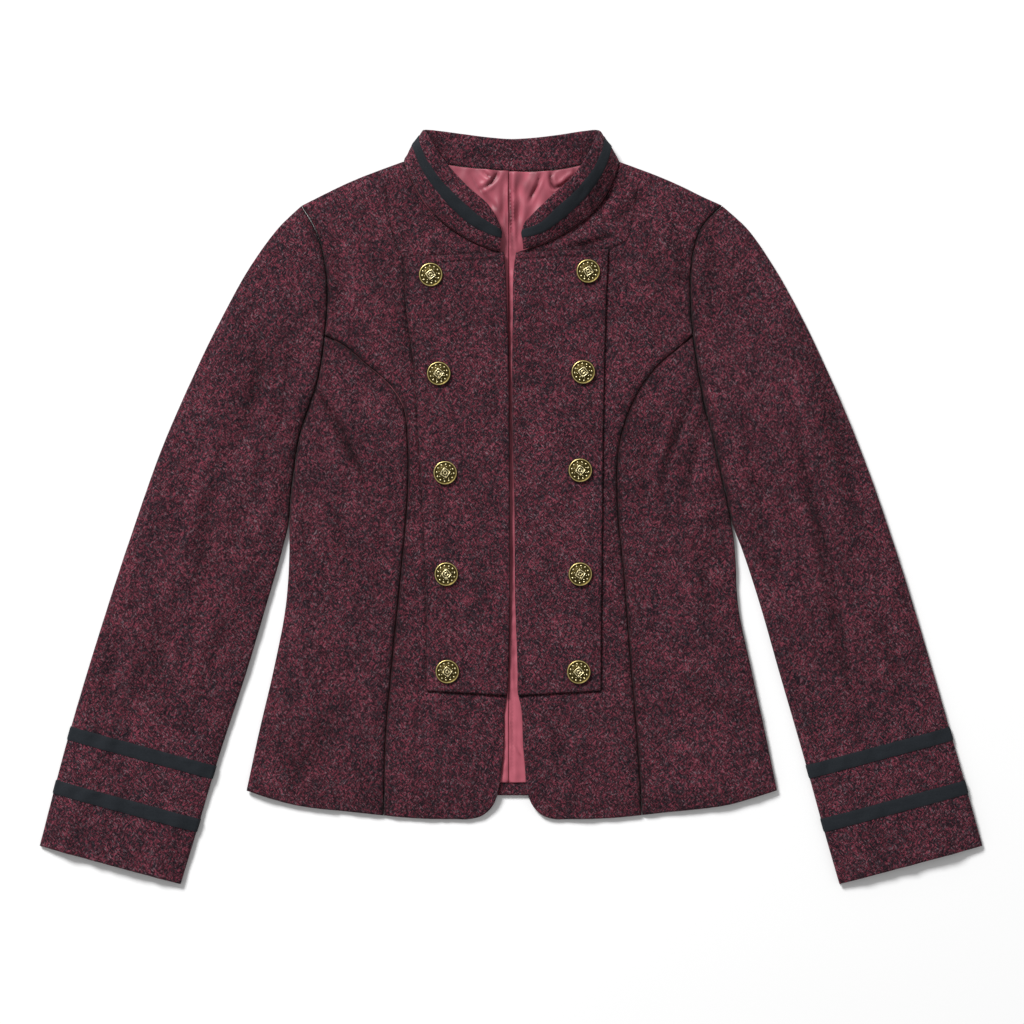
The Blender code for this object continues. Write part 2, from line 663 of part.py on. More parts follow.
def make_sleeve(body):
    """The top and under sleeve, and the bands on the cuff."""
    sleeve = Sleeve(body)
    side, sign = sleeve.side, sleeve.sign
    kept = [line for pair in sleeve.across.values() for line in pair]
    guides = [shifted(sleeve.inner_edge, d) for d in (ROLL_GUIDE, SLEEVE_GUIDE)]
    guides += [shifted(sleeve.outer, -d) for d in (ROLL_GUIDE, SLEEVE_GUIDE)]
    flat, triangles = plate(sleeve.outline, kept, guides, SLEEVE_STEP)
    top = sleeve.top(flat)
    slab(f"sleeve_top_{side}", flat, triangles, sleeve.under(top), top, sign, ("tweed", TWEED))
    flat, triangles = plate(sleeve.outline)
    count = len(flat)
    low, high = np.zeros(count), np.full(count, BACK_WALL)
    slab(f"sleeve_under_{side}", flat, triangles, low, high, sign, ("tweed", TWEED))
    for name, pair in sleeve.across.items():
        make_cuff_band(f"cuff_ribbon_{name}_{side}", sleeve, pair)


def make_cuff_band(name, sleeve, pair):
    """A ribbon across the sleeve that turns down over both of its edges."""
    rows = []
    for line in pair:
        across = (line[-1] - line[0]) / np.linalg.norm(line[-1] - line[0])
        profile = np.stack([(line - line[0]) @ across, sleeve.top(line)], axis=1)
        end = profile[-1]
        profile = np.vstack([[profile[0][0], SHELL_FLOOR], profile, [end[0], SHELL_FLOOR]])
        for gap in (LAYER_GAP, LAYER_GAP + RIBBON_WALL):
            raised = offset_profile(profile, gap)
            rows.append([(*(line[0] + across * s), z) for s, z in raised])
    lower_in, lower_out, upper_in, upper_out = (np.array(row) for row in rows)
    ring = [lower_in, lower_out, upper_out, upper_in]
    points, faces = tube(ring)
    points[:, 0] *= sleeve.sign
    add_object(name, points, faces, ("grosgrain", GROSGRAIN))


def offset_profile(profile, gap):
    """A profile of distance and height moved up and outward, its ends staying at their height."""
    step = np.diff(profile, axis=0)
    normal = np.stack([-step[:, 1], step[:, 0]], axis=1)
    normal /= np.linalg.norm(normal, axis=1)[:, None]
    found = []
    for i, point in enumerate(profile):
        near = [normal[j] for j in (i - 1, i) if 0 <= j < len(normal)]
        mean = np.mean(near, axis=0)
        mean /= np.linalg.norm(mean)
        stretch = 1.0 / max(0.6, float(mean @ near[0]))
        found.append(point + mean * gap * stretch)
    return np.array(found)


def tube(ring):
    """Points and faces of a closed bar whose section has one corner on each line of the ring."""
    count = len(ring[0])
    points = np.vstack(ring)
    faces = []
    for k in range(len(ring)):
        a, b = k * count, (k + 1) % len(ring) * count
        faces += [(a + i, a + i + 1, b + i + 1, b + i) for i in range(count - 1)]
    faces.append([k * count for k in range(len(ring))])
    faces.append([(k + 1) * count - 1 for k in range(len(ring))])
    return points, faces


def make_back():
    """The back, flat on the table."""
    halves = []
    for side in ("right", "left"):
        body = Body(side)
        edge = shifted(body.edge, -SEAM_GAP / 2)
        edge[0] = body.edge[0]
        hem = smooth(BACK_HEM, EDGE_STEP * 1.5)
        hem[-1] = (edge[-1][0], hem[-1][1])
        edge[-1] = hem[-1]
        half = np.vstack([body.back_neckline[::-1], body.shoulder[:-1], edge[:-1], hem[::-1]])
        halves.append(half * (body.sign, 1.0))
    outline = joined(halves[1], halves[0][::-1])
    flat, triangles = plate(outline)
    count = len(flat)
    slab("back", flat, triangles, np.zeros(count), np.full(count, BACK_WALL), 1.0, ("tweed", TWEED))


def make_lining(body):
    """One half of the back lining, which meets the other half at the seam down the centre back."""
    seam = abs(CENTRE_SEAM_X) if body.side == "right" else CENTRE_SEAM_X
    seam += SEAM_GAP / 2
    bottom_y = BACK_HEM[0].y + HEM_STRIP + 0.5
    edge = shifted(body.edge, -LINING_INSET)
    edge = edge[(edge[:, 1] > bottom_y) & (edge[:, 1] < ARMHOLE[0].y - LINING_INSET)]
    shoulder = shifted(body.shoulder, -LINING_INSET)
    shoulder = shoulder[shoulder[:, 0] < edge[0][0] - LINING_CORNER]
    neck = body.back_neckline[(body.back_neckline[:, 0] > seam + 1.0) & (body.back_neckline[:, 0] < LINING_NECK)]
    neck = neck - (0.0, LAYER_GAP)
    neck_end = (seam, neck[-1][1])
    bottom = [(edge[-1][0], bottom_y), (edge[-1][0] / 2, bottom_y), (seam, bottom_y)]
    outline = joined([neck_end], neck[::-1], shoulder[1:], edge, bottom)
    flat, triangles = plate(outline)
    count = len(flat)
    low, high = np.full(count, SHELL_FLOOR), np.full(count, LINING_TOP)
    slab(f"lining_back_{body.side}", flat, triangles, low, high, body.sign, ("satin", SATIN))


def make_back_hem():
    """The turned-up hem of the back, below the lining."""
    curve = smooth(BACK_HEM, EDGE_STEP * 1.5)
    curve = curve[curve[:, 0] < BACK_HEM[-1].out - LINING_INSET]
    half = curve + (0.0, 0.4)
    low_line = np.vstack([half[::-1] * (-1.0, 1.0), half[1:]])
    top_y = BACK_HEM[0].y + HEM_STRIP
    high_line = np.stack([low_line[:, 0], np.full(len(low_line), top_y)], axis=1)
    outline = joined(low_line, high_line[::-1])
    flat, triangles = plate(outline)
    count = len(flat)
    low, high = np.full(count, SHELL_FLOOR), np.full(count, SHELL_FLOOR + HEM_WALL)
    slab("back_hem", flat, triangles, low, high, 1.0, ("tweed", TWEED))


def collar_sheet():
    """The collar's middle surface, as stations with points from seam to edge, and the ribbon's place on each."""
    rows = [row._replace(seam_out=-row.seam_out, edge_out=-row.edge_out) for row in COLLAR["right"]]
    curve = smooth(rows + [COLLAR_BACK] + COLLAR["left"][::-1], COLLAR_STEP)
    seam, edge, ribbon = curve[:, :3], curve[:, 3:6], curve[:, 6:]
    share = np.array(COLLAR_ACROSS)[None, :, None]
    sheet = seam[:, None] + (edge - seam)[:, None] * share
    normal = sheet_normals(sheet)
    width = np.linalg.norm(edge - seam, axis=1)[:, None, None]
    bulge = COLLAR_BULGE * width * 4 * share * (1 - share) * np.clip(normal[..., 2:], 0.0, 1.0)
    return sheet + normal * bulge, ribbon


def sheet_normals(sheet):
    """Unit normals of an array of points, pointing to the outer face of the collar."""
    along = np.gradient(sheet, axis=0)
    across = np.gradient(sheet, axis=1)
    normal = np.cross(across, along)
    return normal / np.linalg.norm(normal, axis=2)[..., None]


def closed_sheet(name, inner, outer, look):
    """A closed object between two arrays of points of the same shape."""
    rows, columns = inner.shape[:2]
    points = np.vstack([inner.reshape(-1, 3), outer.reshape(-1, 3)])
    count = rows * columns
    faces = []
    for i in range(rows - 1):
        for j in range(columns - 1):
            a, b, c, d = (i * columns + j, (i + 1) * columns + j, (i + 1) * columns + j + 1, i * columns + j + 1)
            faces += [(a, b, c, d), (d + count, c + count, b + count, a + count)]
    rim = [i * columns for i in range(rows)] + [(rows - 1) * columns + j for j in range(1, columns)]
    rim += [i * columns + columns - 1 for i in range(rows - 2, -1, -1)] + list(range(columns - 2, 0, -1))
    for a, b in zip(rim, rim[1:] + rim[:1]):
        faces.append((b, a, a + count, b + count))
    return add_object(name, points, faces, look)


def make_collar():
    """The stand collar and the ribbon round its middle."""
    sheet, ribbon = collar_sheet()
    normal = sheet_normals(sheet)
    half = np.full(sheet.shape[:2], COLLAR_WALL / 2)
    half[:, -1] *= COLLAR_EDGE_THINNING
    half = half[..., None]
    outer = sheet + normal * half
    closed_sheet("collar", sheet - normal * half, outer, ("tweed", TWEED))
    strip, lift = [], []
    for station, out, (low, high) in zip(outer, normal, ribbon):
        stops = (low, (low + high) / 2, high)
        strip.append([[np.interp(s, COLLAR_ACROSS, station[:, k]) for k in range(3)] for s in stops])
        lift.append([[np.interp(s, COLLAR_ACROSS, out[:, k]) for k in range(3)] for s in stops])
    lift = np.array(lift)
    inner = np.array(strip) + lift * COLLAR_RIBBON_GAP
    closed_sheet("collar_ribbon", inner, inner + lift * COLLAR_RIBBON_WALL, ("grosgrain", GROSGRAIN))


def main():
    clear_scene()
    make_back()
    make_back_hem()
    for side in SIDES:
        body = Body(side)
        make_lining(body)
        make_front(body)
        make_side_front(body)
        make_sleeve(body)
        make_buttons(body)
    make_collar()


main()
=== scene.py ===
"""The looks of a napoleon jacket of fine tweed, laid flat and face up.

The shapes are worked out in millimetres and turned to metres when a mesh is made. The cloth pieces follow the
outlines and heights of the CAD solids, and get their seams, creases, rounded edges and finishes here.
"""
import math

import bmesh
import bpy
import numpy as np
from mathutils import Matrix, Vector
from mathutils.geometry import delaunay_2d_cdt


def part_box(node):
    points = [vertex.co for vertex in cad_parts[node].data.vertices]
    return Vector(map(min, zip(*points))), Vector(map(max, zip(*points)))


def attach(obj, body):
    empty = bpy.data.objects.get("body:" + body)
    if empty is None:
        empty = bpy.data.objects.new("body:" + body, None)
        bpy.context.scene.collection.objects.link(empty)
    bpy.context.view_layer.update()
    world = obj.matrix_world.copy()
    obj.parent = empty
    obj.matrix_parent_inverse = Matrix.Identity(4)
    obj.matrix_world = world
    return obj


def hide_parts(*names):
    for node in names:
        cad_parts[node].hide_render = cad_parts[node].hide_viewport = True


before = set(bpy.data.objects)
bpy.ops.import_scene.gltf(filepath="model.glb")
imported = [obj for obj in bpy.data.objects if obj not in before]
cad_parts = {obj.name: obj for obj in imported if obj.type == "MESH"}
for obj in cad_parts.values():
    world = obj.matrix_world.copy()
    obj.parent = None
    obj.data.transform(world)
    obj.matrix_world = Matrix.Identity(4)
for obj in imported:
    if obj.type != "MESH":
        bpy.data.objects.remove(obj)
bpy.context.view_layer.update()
bpy.ops.object.select_all(action="DESELECT")

MM = 0.001
SIDES = {"right": -1.0, "left": 1.0}

# The photograph's scale, and the place of the jacket's origin in it
PIXEL, ORIGIN_X, ORIGIN_Y = 0.92, 511.0, 507.0

# Walls, and heights above the table
BACK_WALL, LINING_WALL, HEM_WALL = 2.2, 1.0, 1.2
FRONT_WALL, SLEEVE_WALL, BIB_WALL, COLLAR_WALL = 3.0, 2.8, 2.3, 2.4
SHELL_FLOOR, HEM_FLOOR = 2.5, 0.3
LAYER_GAP = 0.35
RIBBON_WALL, RIBBON_WIDTH = 0.5, 12.7
CUFF_BANDS = {"lower": 50.0, "upper": 101.0}
BACK_HEM_Y = -262.0

# Mesh spacing
CLOTH_STEP, HIDDEN_STEP, HEM_STEP, RIM_STEP = 2.4, 9.0, 4.0, 2.2
RIM_RINGS, LINE_SHIFTS, ROW_SHARE = (0.35, 0.9, 1.8), (-1.5, -0.7, 0.0, 0.7, 1.5), 0.87
CORNER_ANGLE, SHARP_ANGLE = math.radians(35), math.radians(50)

# How much deeper the creases are made than their table says, and the least height of the cloth over its floor
CREASE_DEPTH, LEAST_HEIGHT = 1.6, 1.9

# Outlines nearer than this are sewn together, and the collar's seam lies above and inside these
SEWN_GAP, NECK_SEAM_Y, NECK_SEAM_OUT, NECK_SEWN = 1.3, 234.4, 98.2, 0.3

# How deep and how far in the cloth falls at a seam and at a free edge, and how far in a thin sheet is rounded
SEWN_FALL, FREE_FALL, EDGE_ROUND = (2.5, 2.9), (1.3, 1.7), 1.6

# The least and greatest shade of the cloth
SHADE_LEAST, SHADE_MOST = -0.3, 1.0


def at(px, py):
    """The place in millimetres of a point in the photograph."""
    return (px - ORIGIN_X) * PIXEL, (ORIGIN_Y - py) * PIXEL


# Creases: surface, half width, height (a trough is negative), ridge beside it, and points in the photograph
CREASES = [
    ("front_right", 4.2, -2.4, 0.9, [(319, 390), (338, 422), (352, 450), (362, 474), (369, 494)]),
    ("front_right", 2.6, -1.6, 0.6, [(320, 392), (332, 420), (346, 448), (358, 472)]),
    ("front_right", 16.0, -1.2, 0.5, [(346, 690), (318, 742), (287, 790)]),
    ("front_right", 8.0, -1.0, 0.0, [(402, 296), (410, 340), (415, 384)]),
    ("front_right", 4.0, -0.6, 0.3, [(492, 300), (496, 384), (497, 474)]),
    ("front_right", 8.0, -0.9, 0.5, [(300, 470), (306, 520), (302, 572)]),
    ("front_right", 7.0, -0.8, 0.4, [(330, 500), (345, 550), (352, 604)]),
    ("front_right", 8.0, -0.7, 0.4, [(372, 484), (381, 540), (378, 604)]),
    ("front_right", 9.0, -0.7, 0.4, [(394, 226), (402, 262), (408, 300)]),
    ("front_right", 11.0, 0.8, 0.0, [(352, 232), (357, 280), (352, 324)]),
    ("front_right", 6.0, -0.8, 0.4, [(334, 236), (339, 280), (336, 322)]),
    ("front_right", 5.0, -0.7, 0.4, [(418, 196), (436, 222), (462, 238)]),
    ("front_left", 4.6, -1.9, 0.8, [(695, 384), (683, 420), (669, 456), (659, 492)]),
    ("front_left", 4.6, -1.4, 0.6, [(708, 398), (700, 440), (689, 480), (677, 524)]),
    ("front_left", 3.8, -1.0, 0.5, [(674, 392), (660, 426), (649, 464)]),
    ("front_left", 3.0, -1.7, 0.8, [(563, 248), (579, 246.5), (593, 243), (617, 233)]),
    ("front_left", 4.6, -0.9, 0.5, [(598, 214), (612, 192), (630, 180)]),
    ("front_left", 5.6, -0.9, 0.6, [(617, 227), (632, 206), (647, 190)]),
    ("front_left", 7.0, -1.0, 0.5, [(650, 430), (642, 482), (640, 544)]),
    ("front_left", 8.0, -0.9, 0.4, [(690, 530), (700, 570), (706, 624)]),
    ("front_left", 8.0, -0.9, 0.5, [(716, 470), (712, 520), (722, 562)]),
    ("front_left", 7.0, -1.3, 0.7, [(692, 688), (722, 708), (752, 728)]),
    ("front_left", 8.0, -0.8, 0.5, [(640, 215), (652, 250), (655, 292)]),
    ("front_left", 7.0, -0.8, 0.5, [(672, 220), (682, 262), (684, 302)]),
    ("front_left", 10.0, -0.8, 0.4, [(548, 706), (556, 740), (552, 778)]),
    ("sleeve_right", 9.0, -1.5, 0.7, [(261, 330), (258, 370), (248, 414), (238, 452)]),
    ("sleeve_right", 8.0, -1.2, 0.6, [(212, 476), (207, 516), (203, 558), (196, 594)]),
    ("sleeve_right", 9.0, -1.1, 0.5, [(165, 626), (160, 666), (152, 712)]),
    ("sleeve_right", 7.0, -0.9, 0.4, [(294, 320), (286, 380), (277, 436)]),
    ("sleeve_right", 9.0, 1.0, 0.0, [(231, 376), (212, 440), (190, 520), (170, 594)]),
    ("sleeve_right", 10.0, -0.8, 0.4, [(236, 556), (222, 620), (204, 684)]),
    ("sleeve_right", 3.6, -0.8, 0.4, [(282, 470), (264, 477), (248, 478)]),
    ("sleeve_right", 3.8, -0.7, 0.4, [(264, 538), (249, 545), (234, 543)]),
    ("sleeve_right", 8.0, -0.8, 0.5, [(120, 640), (110, 690), (98, 738)]),
    ("sleeve_left", 5.0, 1.7, 0.0, [(774, 296), (790, 366), (806, 436), (820, 516), (838, 590), (853, 664)]),
    ("sleeve_left", 8.0, -1.5, 0.4, [(792, 400), (806, 480), (820, 548), (834, 622), (846, 692)]),
    ("sleeve_left", 10.0, -1.3, 0.4, [(800, 300), (822, 390), (842, 470), (858, 560)]),
    ("sleeve_left", 7.0, -1.0, 0.5, [(716, 216), (710, 262), (712, 312)]),
    ("sleeve_left", 9.0, -0.9, 0.5, [(742, 420), (756, 500), (776, 580)]),
    ("sleeve_left", 8.0, -1.0, 0.5, [(880, 620), (894, 672), (904, 714)]),
    ("sleeve_left", 3.4, -1.4, 0.7, [(812, 480), (819, 518), (832, 570), (842, 623), (851, 689)]),
    ("sleeve_left", 3.6, -0.8, 0.4, [(741, 478), (758, 486), (774, 488)]),
    ("sleeve_left", 4.0, -0.7, 0.4, [(762, 560), (778, 566), (792, 562)]),
]

# The shoulder darts, and the seam that shows below the top of each bib
DARTS = {
    "right": [(386, 186), (390, 219), (395.2, 240), (398, 250)],
    "left": [(638.7, 186), (632.7, 219), (627.1, 240), (610, 250)],
}
BIB_SEAMS = {
    "right": [(424, 266.0), (438, 264.3), (449, 262.9), (467, 261.5), (487, 259.4), (500, 258.8)],
    "left": [(520, 259.5), (546, 258), (557, 256.6), (574, 257.3), (603, 257.5)],
}

# The stand collar on each side, from its front end to the centre back. Each row gives the seam (out, y, z),
# the edge (out, y, z), and the ribbon's two edges as shares of the way from seam to edge
COLLAR = {
    "right": [
        (9.7, 235.2, 8.6, 9.4, 253.0, 10.2, 0.64, 0.97),
        (17.5, 236.9, 8.6, 11.6, 261.5, 12.4, 0.47, 0.80),
        (31.5, 242.2, 8.6, 19.3, 275.0, 15.2, 0.36, 0.65),
        (52.0, 254.0, 8.6, 39.6, 293.5, 18.4, 0.37, 0.66),
        (74.0, 273.0, 8.8, 58.9, 314.2, 20.6, 0.43, 0.68),
        (90.8, 299.8, 8.8, 71.8, 333.0, 19.8, 0.44, 0.69),
        (97.2, 314.5, 7.9, 77.0, 342.6, 16.6, 0.47, 0.74),
        (97.4, 318.6, 5.6, 79.4, 345.6, 11.0, 0.47, 0.80),
        (93.6, 319.6, 3.6, 76.8, 346.4, 6.0, 0.45, 0.80),
        (75.0, 317.9, 3.0, 66.0, 345.6, 4.4, 0.42, 0.80),
        (47.0, 313.6, 3.0, 43.0, 342.6, 4.0, 0.40, 0.80),
        (19.3, 310.9, 3.0, 17.0, 339.4, 4.0, 0.40, 0.80),
    ],
    "left": [
        (11.2, 236.6, 8.6, 10.6, 253.0, 10.2, 0.64, 0.97),
        (17.5, 238.2, 8.6, 12.2, 259.6, 12.4, 0.47, 0.80),
        (31.0, 242.6, 8.6, 19.6, 268.0, 15.8, 0.36, 0.66),
        (52.0, 253.4, 8.6, 36.8, 284.6, 20.0, 0.365, 0.69),
        (73.6, 269.4, 8.8, 56.4, 302.8, 23.0, 0.425, 0.72),
        (91.0, 294.6, 8.8, 71.8, 325.2, 22.6, 0.43, 0.71),
        (97.6, 311.4, 7.9, 77.8, 338.4, 18.4, 0.46, 0.74),
        (98.0, 318.0, 5.6, 80.6, 344.6, 12.0, 0.47, 0.80),
        (94.0, 319.4, 3.6, 78.2, 346.2, 6.4, 0.45, 0.80),
        (76.4, 317.4, 3.0, 67.6, 345.6, 4.4, 0.42, 0.80),
        (46.9, 311.2, 3.0, 42.0, 341.8, 4.0, 0.40, 0.80),
        (18.4, 308.9, 3.0, 16.6, 339.0, 4.0, 0.40, 0.80),
    ],
}
COLLAR_BACK = (0.0, 309.2, 3.0, 0.0, 338.2, 4.0, 0.40, 0.80)
COLLAR_BULGE = 0.085

# The corners of the standing collar, inside which painted shade darkens the cloth
COLLAR_CORNERS = [(-78.0, 346.0), (79.0, 345.5)]


# Curves and distances in plan


def smooth(points, step):
    """A smooth curve through every point, with steps no longer than the one given."""
    p = np.array(points, dtype=float)
    before = np.vstack([2 * p[0] - p[1], p[:-1]])
    after = np.vstack([p[1:], 2 * p[-1] - p[-2]])
    chord = np.linalg.norm(np.diff(p, axis=0), axis=1)
    span_before = np.concatenate([[chord[0]], chord])
    span_after = np.concatenate([chord, [chord[-1]]])
    slope = ((p - before) / span_before[:, None] * span_after[:, None]
             + (after - p) / span_after[:, None] * span_before[:, None])
    slope /= (span_before + span_after)[:, None]
    found = []
    for i, length in enumerate(chord):
        count = max(1, round(length / step))
        t = (np.arange(count) / count)[:, None]
        found.append(
            (2 * t**3 - 3 * t**2 + 1) * p[i]
            + (t**3 - 2 * t**2 + t) * length * slope[i]
            + (3 * t**2 - 2 * t**3) * p[i + 1]
            + (t**3 - t**2) * length * slope[i + 1]
        )
    return np.vstack(found + [p[-1:]])


def nearest(points, line):
    """Each point's distance from a line, signed to the line's left, and how far along the line it is."""
    start, step = line[:-1], np.diff(line, axis=0)
    length = np.linalg.norm(step, axis=1)
    run = np.concatenate([[0.0], np.cumsum(length)[:-1]])
    gaps, runs = [], []
    for part in np.array_split(points, max(1, len(points) // 1500)):
        offset = part[:, None] - start
        t = np.clip((offset * step).sum(2) / length**2, 0, 1)
        away = offset - t[..., None] * step
        far = (away**2).sum(2)
        chosen = far.argmin(axis=1)
        row = np.arange(len(part))
        turn = step[chosen, 0] * offset[row, chosen, 1] - step[chosen, 1] * offset[row, chosen, 0]
        gaps.append(np.sqrt(far[row, chosen]) * np.where(turn < 0, -1.0, 1.0))
        runs.append(run[chosen] + t[row, chosen] * length[chosen])
    return np.concatenate(gaps), np.concatenate(runs)


def away_from(points, line):
    """How far each point is from a line, on either side."""
    return np.abs(nearest(points, line)[0])


def run_lengths(line):
    """How far along a line each of its points lies."""
    return np.concatenate([[0.0], np.cumsum(np.linalg.norm(np.diff(line, axis=0), axis=1))])


def closed(line):
    return np.vstack([line, line[:1]])


def inside(points, rim):
    """Which points lie inside a closed outline."""
    x, y = points.T
    hit = np.zeros(len(x), bool)
    for (x1, y1), (x2, y2) in zip(rim, np.roll(rim, -1, axis=0)):
        if y1 != y2:
            hit ^= ((y1 > y) != (y2 > y)) & (x < (x2 - x1) * (y - y1) / (y2 - y1) + x1)
    return hit


def flat_area(rim):
    x, y = rim.T
    return 0.5 * float(np.sum(x * np.roll(y, -1) - y * np.roll(x, -1)))


def cut_size(rim):
    """The width and length of the cut along its own main direction, and its area, in metres."""
    centred = rim - rim.mean(axis=0)
    turned = centred @ np.linalg.svd(centred, full_matrices=False)[2].T
    length, width = np.ptp(turned, axis=0) * MM
    return (float(width), float(length)), abs(flat_area(rim)) * MM**2


def ripple(points, seed, across, along, lean=0.0, count=16):
    """An even random swell, about 1 high, with its own wavelength across and along a leaning direction."""
    draw = np.random.default_rng(seed)
    c, s = math.cos(lean), math.sin(lean)
    u = (points[:, 0] * c + points[:, 1] * s) / across
    v = (points[:, 1] * c - points[:, 0] * s) / along
    total = np.zeros(len(points))
    for _ in range(count):
        angle = draw.uniform(0, math.pi)
        size = 2 * math.pi / draw.uniform(0.7, 1.6)
        total += np.sin(size * (u * math.cos(angle) + v * math.sin(angle)) + draw.uniform(0, 2 * math.pi))
    return total / math.sqrt(count / 2)


def ripple_along(run, seed, wave):
    """The same swell along an outline, which draws the cloth in unevenly beside it."""
    return ripple(np.column_stack([run, np.zeros(len(run))]), seed, wave, wave)


# What the CAD solids say


def node_top(name):
    """A CAD node's top outline, counter-clockwise, and the points of its top surface, in millimetres."""
    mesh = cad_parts[name].data
    raw = np.zeros(len(mesh.vertices) * 3)
    mesh.vertices.foreach_get("co", raw)
    points, index = np.unique(np.round(raw.reshape(-1, 3) / MM, 2), axis=0, return_inverse=True)
    mesh.calc_loop_triangles()
    loops = np.zeros(len(mesh.loop_triangles) * 3, int)
    mesh.loop_triangles.foreach_get("vertices", loops)
    triangles = index.reshape(-1)[loops].reshape(-1, 3)
    a, b, c = (points[triangles[:, k]] for k in range(3))
    normal = np.cross(b - a, c - a)
    steep = normal[:, 2] / np.maximum(np.linalg.norm(normal, axis=1), 1e-9)
    upper = triangles[steep > 0.3]
    directed = {(p, q) for t in upper for p, q in ((t[0], t[1]), (t[1], t[2]), (t[2], t[0]))}
    following = {p: q for p, q in directed if (q, p) not in directed}
    start = min(following)
    chain = [start]
    while following[chain[-1]] != start:
        chain.append(following[chain[-1]])
    used = np.unique(upper)
    return points[chain][:, :2], points[used]


def refine(rim, step=RIM_STEP):
    """The outline redrawn as smooth runs between its corners."""
    gap = np.linalg.norm(rim - np.roll(rim, 1, axis=0), axis=1)
    rim = rim[gap > 0.9]
    before = rim - np.roll(rim, 1, axis=0)
    after = np.roll(rim, -1, axis=0) - rim
    turn = before[:, 0] * after[:, 1] - before[:, 1] * after[:, 0]
    turn = np.abs(np.arctan2(turn, (before * after).sum(1)))
    corners = np.flatnonzero(turn > CORNER_ANGLE)
    rim = np.roll(rim, -corners[0], axis=0)
    corners = [*(corners - corners[0]), len(rim)]
    rim = closed(rim)
    runs = [smooth(rim[a:b + 1], step)[:-1] for a, b in zip(corners, corners[1:])]
    return np.vstack(runs)


class Surface:
    """A smooth height over the plan through the top points of some CAD nodes, with creases on it."""

    def __init__(self, name, nodes, lean, streak):
        self.name = name
        known = np.vstack([node_top(node)[1] for node in nodes])
        kept = []
        for p in known:
            if all(abs(p[0] - q[0]) + abs(p[1] - q[1]) > 2.0 for q in kept):
                kept.append(p)
        self.centres = np.array(kept)
        self.lean, self.streak = lean, streak
        count = len(self.centres)
        size = count + 3
        system = np.zeros((size, size))
        system[:count, :count] = self.kernel(self.centres[:, :2]) + np.eye(count) * 4.0
        system[:count, count:] = np.column_stack([np.ones(count), self.centres[:, :2] * 0.01])
        system[count:, :count] = system[:count, count:].T
        wanted = np.concatenate([self.centres[:, 2], np.zeros(3)])
        self.weights = np.linalg.solve(system, wanted)

    def kernel(self, points):
        far = ((points[:, None] - self.centres[:, :2]) ** 2).sum(2) / 100.0 + 1e-9
        return 0.5 * far * np.log(far)

    def height(self, points):
        return self.height_and_shade(points)[0]

    def height_and_shade(self, points):
        """The height at each point, and its painted shade: up to 1 deep in a crease, a little under 0 where a
        ridge gets painted light, with a faint painted shade along the long folds.
        """
        count = len(self.centres)
        found = []
        for part in np.array_split(points, max(1, len(points) // 3000)):
            found.append(self.kernel(part) @ self.weights[:count] + self.weights[count]
                         + part @ self.weights[count + 1:] * 0.01)
        base = np.concatenate(found)
        seed = sum(map(ord, self.name))
        base += self.streak * ripple(points, seed, 26.0, 120.0, self.lean)
        base += 0.22 * ripple(points, seed + 1, 13.0, 21.0, self.lean)
        base += 0.05 * ripple(points, seed + 2, 5.0, 6.0)
        shade = 0.05 * ripple(points, seed, 26.0, 120.0, self.lean)
        for number, (surface, half_width, high, ridge, places) in enumerate(CREASES):
            if surface != self.name:
                continue
            line = smooth([at(*place) for place in places], 6.0)
            gap, run = nearest(points, line)
            share = run / run_lengths(line)[-1]
            fade = np.sin(math.pi * np.clip(share, 0.02, 0.98)) ** 0.6
            wobble = 1.0 + 0.22 * np.sin(share * 9.0 + number * 1.7)
            trough = np.exp(-((gap / (0.75 * half_width)) ** 2))
            shade -= np.clip(high * 0.34, -0.75, 0.2) * fade * trough
            fade *= CREASE_DEPTH
            base += high * fade * np.exp(-((gap / half_width) ** 2) * wobble)
            base += ridge * fade * np.exp(-(((gap - 1.9 * half_width) / (1.3 * half_width)) ** 2))
        return base, shade


# Meshes


def new_piece(name, points, faces, look, shade=None):
    """A piece from points in millimetres, riding on the jacket. Its shade darkens the cloth in creases."""
    mesh = bpy.data.meshes.new(name)
    mesh.from_pydata((np.asarray(points) * MM).tolist(), [], [tuple(int(i) for i in f) for f in faces])
    layer = mesh.attributes.new("shade", "FLOAT", "POINT")
    layer.data.foreach_set("value", np.zeros(len(points), np.float32) if shade is None else np.float32(shade))
    mesh.validate()
    work = bmesh.new()
    work.from_mesh(mesh)
    bmesh.ops.delete(work, geom=[v for v in work.verts if not v.link_faces], context="VERTS")
    work.to_mesh(mesh)
    work.free()
    mesh.materials.append(look)
    mesh.shade_smooth()
    mesh.set_sharp_from_angle(angle=SHARP_ANGLE)
    piece = bpy.data.objects.new(name, mesh)
    bpy.context.scene.collection.objects.link(piece)
    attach(piece, "root")
    return piece


